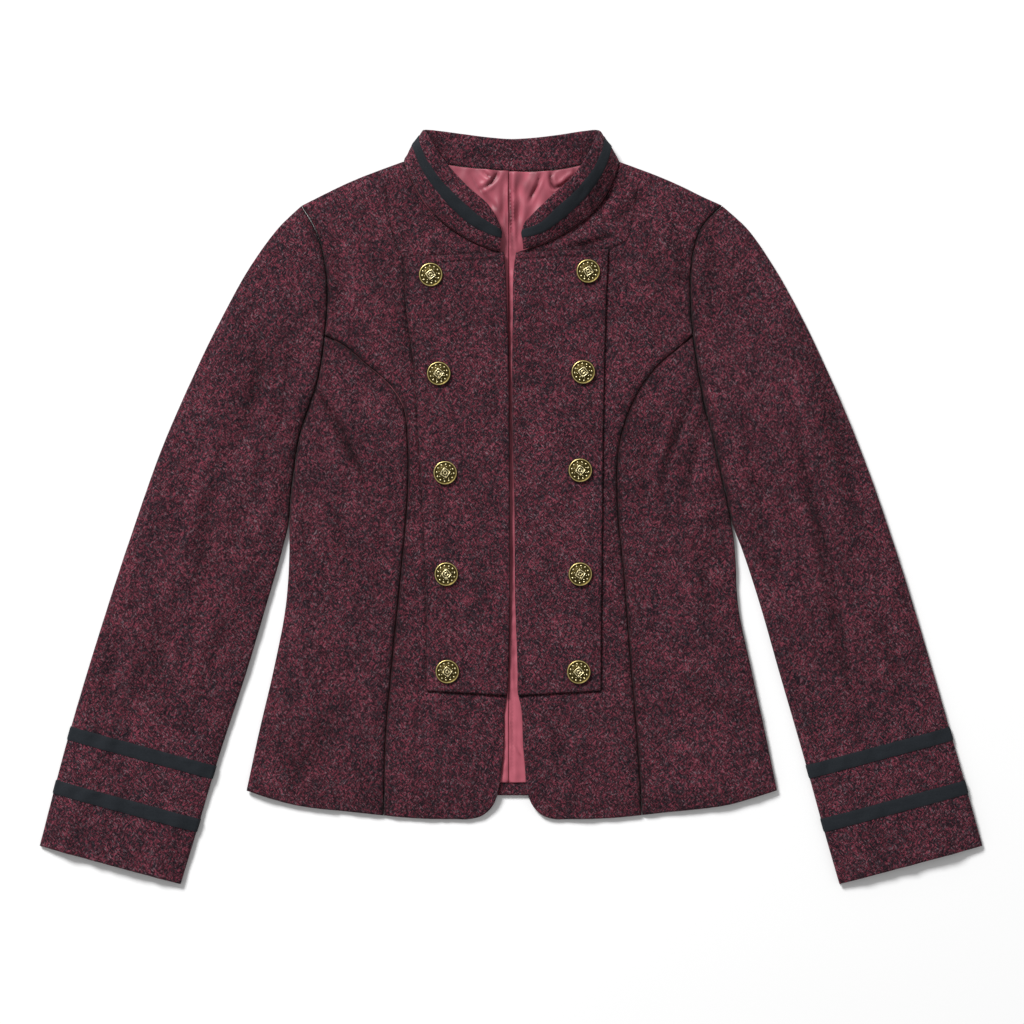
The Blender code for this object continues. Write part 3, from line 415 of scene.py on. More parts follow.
def fill(rim, step, rings, lines=(), fine=None):
    """Points and triangles inside an outline: rings near it, points beside lines, and a staggered grid."""
    ring_line = closed(rim)
    along = np.roll(rim, -1, axis=0) - np.roll(rim, 1, axis=0)
    along /= np.linalg.norm(along, axis=1)[:, None]
    inward = np.stack([-along[:, 1], along[:, 0]], axis=1)
    groups = []
    for depth in rings:
        ring = rim + inward * depth
        ring = ring[inside(ring, rim)]
        groups.append(ring[away_from(ring, ring_line) > 0.85 * depth])
    for line in lines:
        tangent = np.gradient(line, axis=0)
        tangent /= np.linalg.norm(tangent, axis=1)[:, None]
        normal = np.stack([-tangent[:, 1], tangent[:, 0]], axis=1)
        for shift in LINE_SHIFTS:
            row = line + normal * shift
            row = row[inside(row, rim)]
            groups.append(row[away_from(row, ring_line) > rings[-1] + 0.5])
    low, high = rim.min(axis=0), rim.max(axis=0)
    grids = [(low, high, step)]
    if fine is not None:
        grids.append((np.array(fine[:2]), np.array(fine[2:4]), fine[4]))
    reach = rings[-1] if rings else 0.0
    for number, (start, end, spacing) in enumerate(grids):
        rows = np.arange(start[1] + spacing / 2, end[1], spacing * ROW_SHARE)
        grid = [
            np.stack([np.arange(start[0] + spacing * (0.25 + 0.5 * (i % 2)), end[0], spacing)] * 2, axis=1)
            * (1, 0) + (0, y)
            for i, y in enumerate(rows)
        ]
        grid = np.vstack(grid)
        if fine is not None and number == 0:
            x0, y0, x1, y1 = fine[:4]
            grid = grid[~((grid[:, 0] > x0) & (grid[:, 0] < x1) & (grid[:, 1] > y0) & (grid[:, 1] < y1))]
        grid = grid[inside(grid, rim)]
        grid = grid[away_from(grid, ring_line) > reach + 0.45 * min(spacing, 3.0)]
        for line in lines:
            grid = grid[away_from(grid, line) > LINE_SHIFTS[-1] + 0.4 * spacing]
        groups.append(grid)
    flat = np.vstack([rim] + groups)
    count = len(rim)
    edges = [(i, (i + 1) % count) for i in range(count)]
    result = delaunay_2d_cdt([tuple(map(float, p)) for p in flat], edges, [], 1, 0.01)
    found = np.array([tuple(p) for p in result[0]])
    triangles = np.array([t for t in result[2] if len(t) == 3])
    a, b, c = (found[triangles[:, k]] for k in range(3))
    area = (b[:, 0] - a[:, 0]) * (c[:, 1] - a[:, 1]) - (b[:, 1] - a[:, 1]) * (c[:, 0] - a[:, 0])
    keep = inside((a + b + c) / 3, rim) & (np.abs(area) > 0.002)
    triangles, area = triangles[keep], area[keep]
    triangles[area < 0] = triangles[area < 0][:, ::-1]
    return found, triangles


def slab(name, flat, triangles, low, high, look, shade=None):
    """A closed sheet of cloth with the same triangles above and below."""
    count = len(flat)
    directed = {(p, q) for t in triangles.tolist() for p, q in ((t[0], t[1]), (t[1], t[2]), (t[2], t[0]))}
    rim = [(p, q) for p, q in directed if (q, p) not in directed]
    points = np.vstack([np.column_stack([flat, low]), np.column_stack([flat, high])])
    faces = (triangles + count).tolist() + triangles[:, ::-1].tolist()
    for p, q in sorted(rim):
        faces.append((p, q, q + count, p + count))
    both = None if shade is None else np.concatenate([shade, shade])
    return new_piece(name, points, faces, look, both)


def lay(node, rim):
    """Hides the CAD node that the cloth stands for. The size and area of the cut that its outline gives are
    worked out but not used.
    """
    size, area = cut_size(rim)
    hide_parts(node)


def edge_fall(gap, depth, reach):
    """How far the cloth's rounded edge falls at a distance from the edge."""
    near = np.clip(1.0 - np.abs(gap) / reach, 0.0, 1.0)
    return depth * (1.0 - np.sqrt(1.0 - near**2))


# Materials


class Wire:
    """A number that runs through a material's nodes and can be used in sums."""

    def __init__(self, look, socket):
        self.look, self.socket = look, socket

    def sum_with(self, operation, *values):
        inputs = dict(enumerate(values))
        return self.look.node("ShaderNodeMath", {"operation": operation}, inputs)

    def __add__(self, other):
        return self.sum_with("ADD", self, other)

    def __radd__(self, other):
        return self.sum_with("ADD", other, self)

    def __sub__(self, other):
        return self.sum_with("SUBTRACT", self, other)

    def __rsub__(self, other):
        return self.sum_with("SUBTRACT", other, self)

    def __mul__(self, other):
        return self.sum_with("MULTIPLY", self, other)

    def __rmul__(self, other):
        return self.sum_with("MULTIPLY", other, self)


class Look:
    """A material in the making."""

    def __init__(self, name):
        self.material = bpy.data.materials.new(name)
        self.material.use_nodes = True
        self.tree = self.material.node_tree
        self.shader = self.tree.nodes["Principled BSDF"]

    def feed(self, socket, value):
        if isinstance(value, Wire):
            self.tree.links.new(value.socket, socket)
        else:
            socket.default_value = value

    def node(self, kind, settings=None, inputs=None, output=0):
        """A node with its settings made first, then the values or links of its sockets."""
        made = self.tree.nodes.new(kind)
        for key, value in (settings or {}).items():
            if key == "stops":
                self.set_stops(made.color_ramp, value)
            else:
                setattr(made, key, value)
        for key, value in (inputs or {}).items():
            self.feed(made.inputs[key], value)
        return Wire(self, made.outputs[output])

    def set_stops(self, ramp, stops):
        while len(ramp.elements) < len(stops):
            ramp.elements.new(0.5)
        for element, (place, colour) in zip(ramp.elements, stops):
            element.position = place
            element.color = (*colour, 1.0)

    def place(self):
        """The place on the piece in millimetres."""
        metres = self.node("ShaderNodeTexCoord", output="Object")
        return self.node("ShaderNodeVectorMath", {"operation": "SCALE"}, {0: metres, "Scale": 1000.0})

    def turned(self, vector, turn, scale, kind="POINT"):
        inputs = {"Vector": vector, "Rotation": turn, "Scale": scale}
        return self.node("ShaderNodeMapping", {"vector_type": kind}, inputs)

    def noise(self, vector, scale, detail=2.0):
        return self.node("ShaderNodeTexNoise", {}, {"Vector": vector, "Scale": scale, "Detail": detail})

    def mix(self, share, first, second):
        return self.node("ShaderNodeMix", {"data_type": "RGBA"}, {0: share, 6: first, 7: second}, output=2)

    def ramp(self, share, stops):
        return self.node("ShaderNodeValToRGB", {"stops": stops}, {0: share})

    def bump(self, height, distance, strength=1.0):
        bump = self.node("ShaderNodeBump", {}, {"Height": height, "Distance": distance, "Strength": strength})
        self.feed(self.shader.inputs["Normal"], bump)

    def shaded(self, colour, strength):
        """The colour with painted shade from the piece's shade attribute: darker in creases, beside seams and
        in the collar's corners, lighter where painted light is set.
        """
        shade = self.node("ShaderNodeAttribute", {"attribute_name": "shade"}, output="Fac")
        inputs = {0: colour, "Scale": 1.0 - shade * strength}
        return self.node("ShaderNodeVectorMath", {"operation": "SCALE"}, inputs)

    def constants(self, values):
        for key, value in values.items():
            self.shader.inputs[key].default_value = value


def tweed_look():
    """Short crimson and grey flecks that lean both ways on a near-black ground."""
    look = Look("tweed")
    place = look.place()
    flecks = []
    for lean in (52.0, -50.0):
        slanted = look.turned(place, (0.0, 0.0, math.radians(lean)), (2.0, 0.8, 1.1), "TEXTURE")
        cells = look.node("ShaderNodeTexVoronoi", {}, {"Vector": slanted, "Scale": 1.0}, output="Color")
        flecks.append(look.node("ShaderNodeSeparateColor", {}, {0: cells}, output=0))
        flecks.append(look.node("ShaderNodeSeparateColor", {}, {0: cells}, output=1))
    patch = look.ramp(look.noise(place, 0.3, 1.0), [(0.44, (0.0, 0.0, 0.0)), (0.56, (1.0, 1.0, 1.0))])
    fleck = look.node("ShaderNodeMix", {"data_type": "FLOAT"}, {0: patch, 2: flecks[0], 3: flecks[2]})
    paler = look.node("ShaderNodeMix", {"data_type": "FLOAT"}, {0: patch, 2: flecks[1], 3: flecks[3]})
    cloud = look.noise(place, 0.05, 3.0)
    grain = look.noise(place, 1.7, 2.0)
    share = fleck * 0.85 + (cloud - 0.5) * 0.4 + (grain - 0.5) * 0.8 + 0.07
    yarn = look.ramp(share, TWEED_STOPS)
    grey = look.ramp(share, GREY_STOPS)
    dots = look.ramp(paler + (grain - 0.5) * 0.4, [(0.60, (0.0, 0.0, 0.0)), (0.90, (0.8, 0.8, 0.8))])
    look.feed(look.shader.inputs["Base Color"], look.shaded(look.mix(dots, yarn, grey), 0.85))
    look.bump(fleck * 0.5 + grain, 0.00035, 0.8)
    look.constants({"Roughness": 0.95, "Sheen Weight": 0.04, "Sheen Roughness": 0.5})
    look.constants({"Specular IOR Level": 0.1})
    return look.material


TWEED_STOPS = [
    (0.0, (0.006, 0.004, 0.007)),
    (0.30, (0.018, 0.009, 0.013)),
    (0.50, (0.046, 0.013, 0.019)),
    (0.68, (0.092, 0.018, 0.029)),
    (0.84, (0.165, 0.030, 0.048)),
    (1.0, (0.230, 0.060, 0.085)),
]
GREY_STOPS = [
    (0.0, (0.010, 0.010, 0.014)),
    (0.45, (0.034, 0.028, 0.034)),
    (0.75, (0.095, 0.070, 0.082)),
    (1.0, (0.180, 0.135, 0.150)),
]


def satin_look():
    """A smooth dusty rose satin with a faint warp."""
    look = Look("satin")
    place = look.place()
    warp = look.noise(look.turned(place, (0.0, 0.0, 0.0), (3.0, 0.12, 1.0)), 1.0, 2.0)
    cloud = look.noise(place, 0.03, 2.0)
    colour = look.mix(cloud * 0.6 + warp * 0.4, (0.27, 0.056, 0.080, 1.0), (0.40, 0.094, 0.128, 1.0))
    look.feed(look.shader.inputs["Base Color"], look.shaded(colour, 0.75))
    look.bump(warp, 0.00008, 0.5)
    look.constants({"Roughness": 0.46, "Sheen Weight": 0.15, "Sheen Roughness": 0.3})
    look.constants({"Specular IOR Level": 0.32})
    return look.material


def grosgrain_look():
    """A charcoal ribbon with fine ribs across it, laid out by the piece's own UV map in millimetres."""
    look = Look("grosgrain")
    layout = look.node("ShaderNodeTexCoord", output="UV")
    along = look.node("ShaderNodeSeparateXYZ", {}, {0: layout}, output=0)
    turn = along * (2 * math.pi / 0.9)
    ribs = turn.sum_with("SINE", turn) * 0.5 + 0.5
    speck = look.noise(look.place(), 0.8, 2.0)
    colour = look.mix(ribs * 0.5 + speck * 0.5, (0.005, 0.007, 0.009, 1.0), (0.022, 0.026, 0.032, 1.0))
    look.feed(look.shader.inputs["Base Color"], colour)
    look.bump(ribs + speck * 0.4, 0.0002, 0.7)
    look.constants({"Roughness": 0.8, "Sheen Weight": 0.0, "Specular IOR Level": 0.16})
    return look.material


def brass_look():
    """Antique brass: dark olive in the recesses, bright where it is rubbed."""
    look = Look("brass")
    rubbed = look.node("ShaderNodeAttribute", {"attribute_name": "rubbed"}, output="Fac")
    speck = look.noise(look.place(), 1.6, 3.0)
    share = rubbed * 0.85 + (speck - 0.5) * 0.5
    colour = look.ramp(share, [
        (0.0, (0.055, 0.040, 0.010)),
        (0.25, (0.15, 0.11, 0.026)),
        (0.6, (0.55, 0.43, 0.15)),
        (0.9, (0.95, 0.84, 0.50)),
        (1.0, (0.97, 0.90, 0.62)),
    ])
    look.feed(look.shader.inputs["Base Color"], colour)
    look.feed(look.shader.inputs["Roughness"], 0.52 - share * 0.24)
    look.bump(speck, 0.00006, 0.5)
    look.constants({"Metallic": 0.9})
    return look.material


TWEED, SATIN, GROSGRAIN, BRASS = tweed_look(), satin_look(), grosgrain_look(), brass_look()


# The cloth of the body and the sleeves

SLEEVE_LEAN = math.radians(16.5)
surfaces = {}
for side, sign in SIDES.items():
    surfaces[f"front_{side}"] = Surface(f"front_{side}", [f"front_{side}", f"side_front_{side}"], 0.0, 0.22)
    surfaces[f"sleeve_{side}"] = Surface(f"sleeve_{side}", [f"sleeve_top_{side}"], sign * SLEEVE_LEAN, 0.34)

# Where front, side front and sleeve meet: the corners nearer than TIP_REACH are drawn out to this point
SHOULDER_POINTS = {"right": (-192.5, 277.0), "left": (193.8, 277.0)}
TIP_REACH, TIP_SHARE = 6.0, 0.8


def drawn_in(rim, tip):
    """The outline with its corner drawn out to the shoulder point."""
    away = rim - tip
    near = np.clip(1.0 - np.linalg.norm(away, axis=1) / TIP_REACH, 0.0, 1.0)
    return rim - away * (TIP_SHARE * near)[:, None]


outlines = {}
bib_rims = {f"front_{side}": refine(node_top(f"bib_{side}")[0]) for side in SIDES}
for side, tip in SHOULDER_POINTS.items():
    for piece_name in (f"front_{side}", f"side_front_{side}", f"sleeve_top_{side}"):
        outlines[piece_name] = drawn_in(refine(node_top(piece_name)[0]), tip)


def seam_share(name):
    """1 for each rim point that is sewn to another piece and 0 for a free one, blended along the rim."""
    rim = outlines[name]
    others = [closed(other) for key, other in outlines.items() if key != name]
    gap = np.min([away_from(rim, other) for other in others], axis=0)
    sewn = (gap < SEWN_GAP).astype(float)
    out = rim[:, 0] * SIDES[name.split("_")[-1]]
    neck = (rim[:, 1] > NECK_SEAM_Y) & (out < NECK_SEAM_OUT)
    sewn[neck & name.startswith("front")] = NECK_SEWN
    return sum(np.roll(sewn, k) for k in range(-3, 4)) / 7


def make_shell(name, surface, wall, floor, lines=()):
    """The top cloth of a panel: rounded at free edges, drawn in at seams, with small puckers beside them."""
    rim = outlines[name]
    flat, triangles = fill(rim, CLOTH_STEP, RIM_RINGS, lines)
    gap, run = nearest(flat, closed(rim))
    gap = np.abs(gap)
    share = seam_share(name)
    sewn = np.interp(run, run_lengths(closed(rim)), np.append(share, share[0]))
    fall = sewn * edge_fall(gap, *SEWN_FALL) + (1 - sewn) * edge_fall(gap, *FREE_FALL)
    fall += (0.8 * sewn + 0.2 * (1 - sewn)) * np.exp(-gap / 4.0)
    pucker = ripple_along(run, sum(map(ord, name)), 11.0) * np.exp(-gap / 6.0)
    fall += (0.24 * sewn + 0.07 * (1 - sewn)) * pucker
    base, shade = surface.height_and_shade(flat)
    base = np.maximum(base, floor(flat) + LEAST_HEIGHT)
    high = base - fall
    # Painted shade: darker beside the seams, along the darts and round the bib.
    shade += sewn * (0.55 * np.exp(-gap / 1.5) + 0.28 * np.exp(-gap / 5.0))
    for line in lines:
        away = away_from(flat, line)
        high -= 1.0 * np.exp(-((away / 1.0) ** 2))
        shade += 0.4 * np.exp(-((away / 1.2) ** 2))
    if name in bib_rims:
        beside = away_from(flat, closed(bib_rims[name]))
        high -= 0.8 * np.exp(-((beside / 1.8) ** 2))
        shade += 0.5 * np.exp(-((beside / 1.9) ** 2))
    low = np.maximum(base - wall, floor(flat))
    low = np.minimum(low, high - 0.7)
    shade = np.clip(shade, SHADE_LEAST, SHADE_MOST)
    cloth = slab(name + "_cloth", flat, triangles, low, high, TWEED, shade)
    lay(name, rim)


def body_floor(flat):
    return np.where(flat[:, 1] < BACK_HEM_Y - 4.0, HEM_FLOOR, SHELL_FLOOR)


def sleeve_floor(flat):
    return np.full(len(flat), SHELL_FLOOR)


for side in SIDES:
    body = surfaces[f"front_{side}"]
    dart = smooth([at(*p) for p in DARTS[side]], 2.0)
    for piece_name, lines in ((f"front_{side}", [dart]), (f"side_front_{side}", [])):
        make_shell(piece_name, body, FRONT_WALL, body_floor, lines)
    sleeve = surfaces[f"sleeve_{side}"]
    make_shell(f"sleeve_top_{side}", sleeve, SLEEVE_WALL, sleeve_floor)


def make_bib(side):
    """The buttoned panel on the front, with turned edges and the seam below its top."""
    rim = bib_rims[f"front_{side}"]
    seam = smooth([at(*p) for p in BIB_SEAMS[side]], 2.0)
    flat, triangles = fill(rim, CLOTH_STEP, RIM_RINGS, [seam])
    gap, run = nearest(flat, closed(rim))
    gap = np.abs(gap)
    base, shade = surfaces[f"front_{side}"].height_and_shade(flat)
    pucker = ripple_along(run, 7 + len(side), 14.0) * np.exp(-gap / 7.0)
    high = base + LAYER_GAP + BIB_WALL - edge_fall(gap, 1.2, 1.6) - 0.3 * np.exp(-gap / 4.0)
    high += 0.14 * pucker + 0.1 * ripple(flat, 40 + len(side), 22.0, 34.0)
    away = away_from(flat, seam)
    stitches = (0.75 + 0.25 * np.sin(flat[:, 0] * 2 * math.pi / 7.0)) * (gap > 1.0)
    high -= 0.95 * stitches * np.exp(-((away / 1.0) ** 2))
    # Painted shade in the stitched seam and along the bib's edge.
    shade += 0.55 * stitches * np.exp(-((away / 1.1) ** 2)) + 0.35 * np.exp(-gap / 1.2)
    low = base + LAYER_GAP * 0.5
    shade = np.clip(shade, SHADE_LEAST, SHADE_MOST)
    cloth = slab(f"bib_{side}_cloth", flat, triangles, low, high, TWEED, shade)
    lay(f"bib_{side}", rim)


for side in SIDES:
    make_bib(side)


def make_flat_cloth(name, wall, low, step, rings):
    """A cloth piece that lies flat on the table or under the others."""
    rim = refine(node_top(name)[0])
    flat, triangles = fill(rim, step, rings)
    gap = away_from(flat, closed(rim))
    high = low + wall - edge_fall(gap, 0.8, 1.5)
    lower = low + edge_fall(gap, 0.7, 1.5)
    cloth = slab(name + "_cloth", flat, triangles, lower, high, TWEED)
    lay(name, rim)


for piece_name in ("back", "sleeve_under_right", "sleeve_under_left"):
    make_flat_cloth(piece_name, BACK_WALL, 0.0, HIDDEN_STEP, (0.5, 1.5))
make_flat_cloth("back_hem", HEM_WALL, SHELL_FLOOR, HEM_STEP, (0.5, 1.4))


# The satin lining of the back

# Its creases: half width, height (a trough is negative), ridge beside it, and points in the photograph
SATIN_CREASES = [
    (1.5, -1.5, 1.0, [(482, 170), (486, 175), (492, 178)]),
    (1.6, -2.0, 1.2, [(499, 170), (496, 177), (489, 185), (480, 190)]),
    (1.5, -1.6, 1.1, [(541, 173), (539, 181), (535, 190), (529, 203)]),
    (1.6, -2.0, 1.3, [(553, 168), (551, 180), (554, 188), (562, 186), (569, 180), (575, 175), (573, 166)]),
    (1.4, -1.9, 1.3, [(510, 168), (510, 190), (510.5, 214), (512, 238), (513.6, 256)]),
    (2.2, -1.1, 0.9, [(504, 176), (503, 200), (505, 222), (509, 244)]),
    (2.0, -1.0, 0.8, [(517, 178), (519, 202), (518, 226), (516, 246)]),
    (2.0, -1.0, 0.7, [(470, 174), (478, 188), (490, 202), (500, 212)]),
    (1.8, -0.9, 0.7, [(590, 172), (580, 190), (560, 206), (538, 216)]),
    (1.0, -0.9, 0.4, [(512, 690), (512.4, 730), (512, 780)]),
    (1.2, -0.9, 0.6, [(515, 744), (519, 751), (522, 760)]),
    (1.0, -0.8, 0.4, [(515, 640), (514.6, 668), (515.6, 698)]),
]


# Where the lining shows, as two corners, and the mesh spacing there
LINING_SHOWN = (-64.0, -252.0, 64.0, 310.0, 1.9)


def satin_height(flat):
    """The lining's height and shade: gathers that fan down from the collar seam, and creases in the front."""
    x, y = flat.T
    open_neck = np.exp(-((x / 46.0) ** 4)) * np.clip((y - 226.0) / 26.0, 0, 1)
    below = np.clip(309.5 - y, 0, 90)
    fan = x * (1.0 + below * 0.004) / (1.0 + below * 0.006)
    gather = np.sin(fan / 2.15 + 1.3 * np.sin(fan / 9.0)) * np.exp(-below / 15.0)
    gather += 0.8 * np.sin(fan / 4.3 + 0.8) * np.exp(-below / 34.0)
    high = 3.6 + open_neck * (1.5 + 0.75 * gather + 0.5 * ripple(flat, 5, 11.0, 26.0))
    # Painted shade just under the collar seam and over the gathers, whose tops get a little painted light.
    shade = open_neck * (0.16 * ripple(flat, 5, 11.0, 26.0) - 0.1 * gather) + 0.25 * np.exp(-below / 3.0)
    for half_width, depth, ridge, places in SATIN_CREASES:
        line = smooth([at(*place) for place in places], 2.0)
        near = np.linalg.norm(flat[:, None] - line[::4], axis=2).min(axis=1) < 20.0
        gap, run = nearest(flat[near], line)
        share = run / run_lengths(line)[-1]
        fade = np.sin(math.pi * np.clip(share, 0.03, 0.97)) ** 0.6
        high[near] += depth * fade * np.exp(-((gap / half_width) ** 2))
        # Painted shade in each crease.
        shade[near] -= 0.4 * depth * fade * np.exp(-((gap / (0.7 * half_width)) ** 2))
        for shift in (-2.1, 2.1):
            high[near] += ridge * fade * np.exp(-(((gap - shift * half_width) / (1.2 * half_width)) ** 2))
    strip = np.exp(-((x / 20.0) ** 4)) * np.clip((232.0 - y) / 20.0, 0, 1)
    high += strip * (1.2 + 0.34 * ripple(flat, 9, 7.0, 60.0, 0.05) + 0.20 * ripple(flat, 10, 12.0, 12.0))
    # Painted light: the strip of lining that shows between the fronts is made lighter.
    return high, np.clip(shade - 0.3 * strip, SHADE_LEAST, SHADE_MOST)


def make_lining(side):
    """One half of the lining, with a finer mesh where it shows."""
    rim = refine(node_top(f"lining_back_{side}")[0], 3.0)
    flat, triangles = fill(rim, HIDDEN_STEP, (0.4, 1.0), fine=LINING_SHOWN)
    gap = away_from(flat, closed(rim))
    high, shade = satin_height(flat)
    high -= edge_fall(gap, 0.6, 1.0)
    low = np.maximum(high - LINING_WALL, SHELL_FLOOR)
    cloth = slab(f"lining_back_{side}_cloth", flat, triangles, low, high, SATIN, shade)
    lay(f"lining_back_{side}", rim)


for side in SIDES:
    make_lining(side)


# Ribbons and the collar


def set_layout(piece, layout):
    """The piece's UV map, in millimetres along and across the ribbon."""
    layer = piece.data.uv_layers.new(name="ribbon")
    for loop in piece.data.loops:
        layer.data[loop.index].uv = layout[loop.vertex_index]


def closed_sheet(name, inner, outer, look, shade=None):
    """A closed piece between two arrays of points of the same shape."""
    rows, columns = inner.shape[:2]
    points = np.vstack([inner.reshape(-1, 3), outer.reshape(-1, 3)])
    count = rows * columns
    faces = []
    for i in range(rows - 1):
        for j in range(columns - 1):
            a, b = i * columns + j, (i + 1) * columns + j
            c, d = b + 1, a + 1
            faces += [(a, b, c, d), (d + count, c + count, b + count, a + count)]
    rim = [i * columns for i in range(rows)] + [(rows - 1) * columns + j for j in range(1, columns)]
    rim += [i * columns + columns - 1 for i in range(rows - 2, -1, -1)] + list(range(columns - 2, 0, -1))
    for a, b in zip(rim, rim[1:] + rim[:1]):
        faces.append((b, a, a + count, b + count))
    return new_piece(name, points, faces, look, shade)


def sheet_normals(sheet):
    normal = np.cross(np.gradient(sheet, axis=1), np.gradient(sheet, axis=0))
    return normal / np.linalg.norm(normal, axis=2)[..., None]


def make_collar():
    """The stand collar and the ribbon round its middle."""
    rows = [(-row[0], *row[1:3], -row[3], *row[4:]) for row in COLLAR["right"]]
    rows += [COLLAR_BACK] + COLLAR["left"][::-1]
    curve = smooth(rows, 3.4)
    seam, edge, ribbon_place = curve[:, :3], curve[:, 3:6], curve[:, 6:]
    width = np.linalg.norm(edge - seam, axis=1)
    across = np.concatenate([[0.0, 0.012, 0.035], np.linspace(0.07, 0.93, 17), [0.965, 0.988, 1.0]])
    share = across[None, :, None]
    sheet = seam[:, None] + (edge - seam)[:, None] * share
    normal = sheet_normals(sheet)
    bulge = COLLAR_BULGE * width[:, None, None] * 4 * share * (1 - share) * np.clip(normal[..., 2:], 0, 1)
    sheet = sheet + normal * bulge
    run = run_lengths((seam + edge) / 2)
    spread = np.column_stack([np.repeat(run, len(across)), (width[:, None] * across).ravel()])
    wave = 0.28 * ripple(spread, 61, 34.0, 20.0) + 0.12 * ripple(spread, 62, 11.0, 9.0)
    ends = np.clip(np.minimum(run, run[-1] - run) / 15.0, 0, 1)[:, None, None]
    middle = np.minimum(share, 1 - share) * 4
    sheet = sheet + normal * wave.reshape(len(run), -1, 1) * ends * np.clip(middle, 0, 1)
    normal = sheet_normals(sheet)
    from_edge = width[:, None] * np.minimum(across, 1 - across)
    from_edge = np.minimum(from_edge, np.minimum(run, run[-1] - run)[:, None] + 0.2)
    near = np.clip(1.0 - from_edge / EDGE_ROUND, 0.0, 1.0)
    half = (COLLAR_WALL / 2 * np.sqrt(1.0 - 0.95 * near**2))[..., None]
    # Painted shade inside the collar's standing corners.
    corner = np.min([np.hypot(*(edge[:, :2] - spot).T) for spot in COLLAR_CORNERS], axis=0)
    shade = 0.8 * np.exp(-((corner / 17.0) ** 2))[:, None] * np.clip(1.5 - 1.6 * across, 0.0, 1.0)
    shade = np.concatenate([shade.ravel(), np.zeros(shade.size)])
    collar = closed_sheet("collar_cloth", sheet - normal * half, sheet + normal * half, TWEED, shade)
    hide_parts("collar")

    stops = np.linspace(0.0, 1.0, 9)
    outer = sheet + normal * half
    strip, lift, layout = [], [], []
    for k, (start, end) in enumerate(ribbon_place):
        wanted = start + (end - start) * stops
        strip.append(np.column_stack([np.interp(wanted, across, outer[k, :, i]) for i in range(3)]))
        lift.append(np.column_stack([np.interp(wanted, across, normal[k, :, i]) for i in range(3)]))
        layout += [(run[k], w * width[k]) for w in wanted]
    strip, lift = np.array(strip), np.array(lift)
    edge_near = np.clip(1.0 - np.minimum(stops, 1 - stops) * RIBBON_WIDTH / EDGE_ROUND, 0, 1)
    wall = (RIBBON_WALL * (1.0 - 0.6 * edge_near**2))[None, :, None]
    inner = strip + lift * 0.15
    ribbon = closed_sheet("collar_ribbon_band", inner, inner + lift * wall, GROSGRAIN)
    set_layout(ribbon, layout * 2)
    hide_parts("collar_ribbon")


make_collar()


def make_cuff_bands(side):
    """The ribbons round the sleeve, which follow its top and turn down over its two edges."""
    rim = outlines[f"sleeve_top_{side}"]
    surface = surfaces[f"sleeve_{side}"]
    sign = SIDES[side]
    out = rim[:, 0] * sign
    outer_end = int(np.argmax(out))
    lowest = int(np.argmin(rim[:, 1]))
    step = 1 if (lowest - outer_end) % len(rim) > len(rim) / 2 else -1
    outer = [rim[(outer_end + step * k) % len(rim)] for k in range(90)]
    inner = [rim[(lowest - step * k) % len(rim)] for k in range(90)]
    lines = [(run_lengths(line), line) for line in (np.array(inner), np.array(outer))]

    def up(pair, far):
        run, line = pair
        return np.array([np.interp(far, run, line[:, k]) for k in (0, 1)])

    for name, start in CUFF_BANDS.items():
        node = f"cuff_ribbon_{name}_{side}"
        rows = []
        stops = np.concatenate([np.linspace(0, 1, 7)[:-1] * 0.025, np.linspace(0.025, 0.975, 70),
                                1 - np.linspace(1, 0, 7)[1:] * 0.025])
        shares = np.linspace(0.0, 1.0, 9)
        for share in shares:
            far = start + RIBBON_WIDTH * share
            first, last = up(lines[0], far), up(lines[1], far)
            flat = first + (last - first) * stops[:, None]
            width = float(np.linalg.norm(last - first))
            away = width * np.minimum(stops, 1 - stops)
            high = surface.height(flat) - edge_fall(away, *FREE_FALL) - 0.2 * np.exp(-away / 4.5)
            profile = np.column_stack([width * stops, high])
            ends = np.linspace(SHELL_FLOOR + 0.1, high[0], 4)[:-1]
            tail = np.linspace(high[-1], SHELL_FLOOR + 0.1, 4)[1:]
            profile = np.vstack([np.column_stack([np.zeros(3), ends]), profile,
                                 np.column_stack([np.full(3, width), tail])])
            along = np.gradient(profile, axis=0)
            normal = np.column_stack([-along[:, 1], along[:, 0]])
            normal /= np.linalg.norm(normal, axis=1)[:, None]
            direction = (last - first) / width
            edge_near = max(0.0, 1.0 - min(share, 1 - share) * RIBBON_WIDTH / EDGE_ROUND)
            both = []
            for gap in (0.3, 0.3 + RIBBON_WALL * (1 - 0.6 * edge_near**2)):
                moved = profile + normal * gap
                both.append(np.column_stack([first + direction * moved[:, :1], moved[:, 1]]))
            rows.append((both, run_lengths(profile)))
        inner_points = np.array([row[0][0] for row in rows]).transpose(1, 0, 2)
        outer_points = np.array([row[0][1] for row in rows]).transpose(1, 0, 2)
        if sign > 0:
            inner_points, outer_points = inner_points[:, ::-1], outer_points[:, ::-1]
        layout = [(run, RIBBON_WIDTH * share) for run in rows[0][1] for share in shares]
        made = closed_sheet(node + "_band", inner_points, outer_points, GROSGRAIN)
        set_layout(made, layout * 2)
        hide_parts(node)


for side in SIDES:
    make_cuff_bands(side)


# Buttons


def chosen_object():
    return bpy.context.view_layer.objects.active


def join_all(parts):
    bpy.ops.object.select_all(action="DESELECT")
    for part in parts:
        part.select_set(True)
    bpy.context.view_layer.objects.active = parts[0]
    bpy.ops.object.join()
    return chosen_object()


def place_down(item):
    """The object's place, turn and size put into its mesh."""
    bpy.ops.object.select_all(action="DESELECT")
    item.select_set(True)
    bpy.context.view_layer.objects.active = item
    bpy.ops.object.transform_apply(location=True, rotation=True, scale=True)


# The insets of the button's top face, and how far each is raised
BUTTON_STEPS = [
    (0.30, 0.62), (0.35, 0.22), (0.35, 0.02), (0.35, -0.16), (0.30, -0.50), (0.7, -0.15), (1.0, 0.10),
    (1.2, 0.42), (1.6, 0.36), (1.8, 0.24), (1.6, 0.10),
]

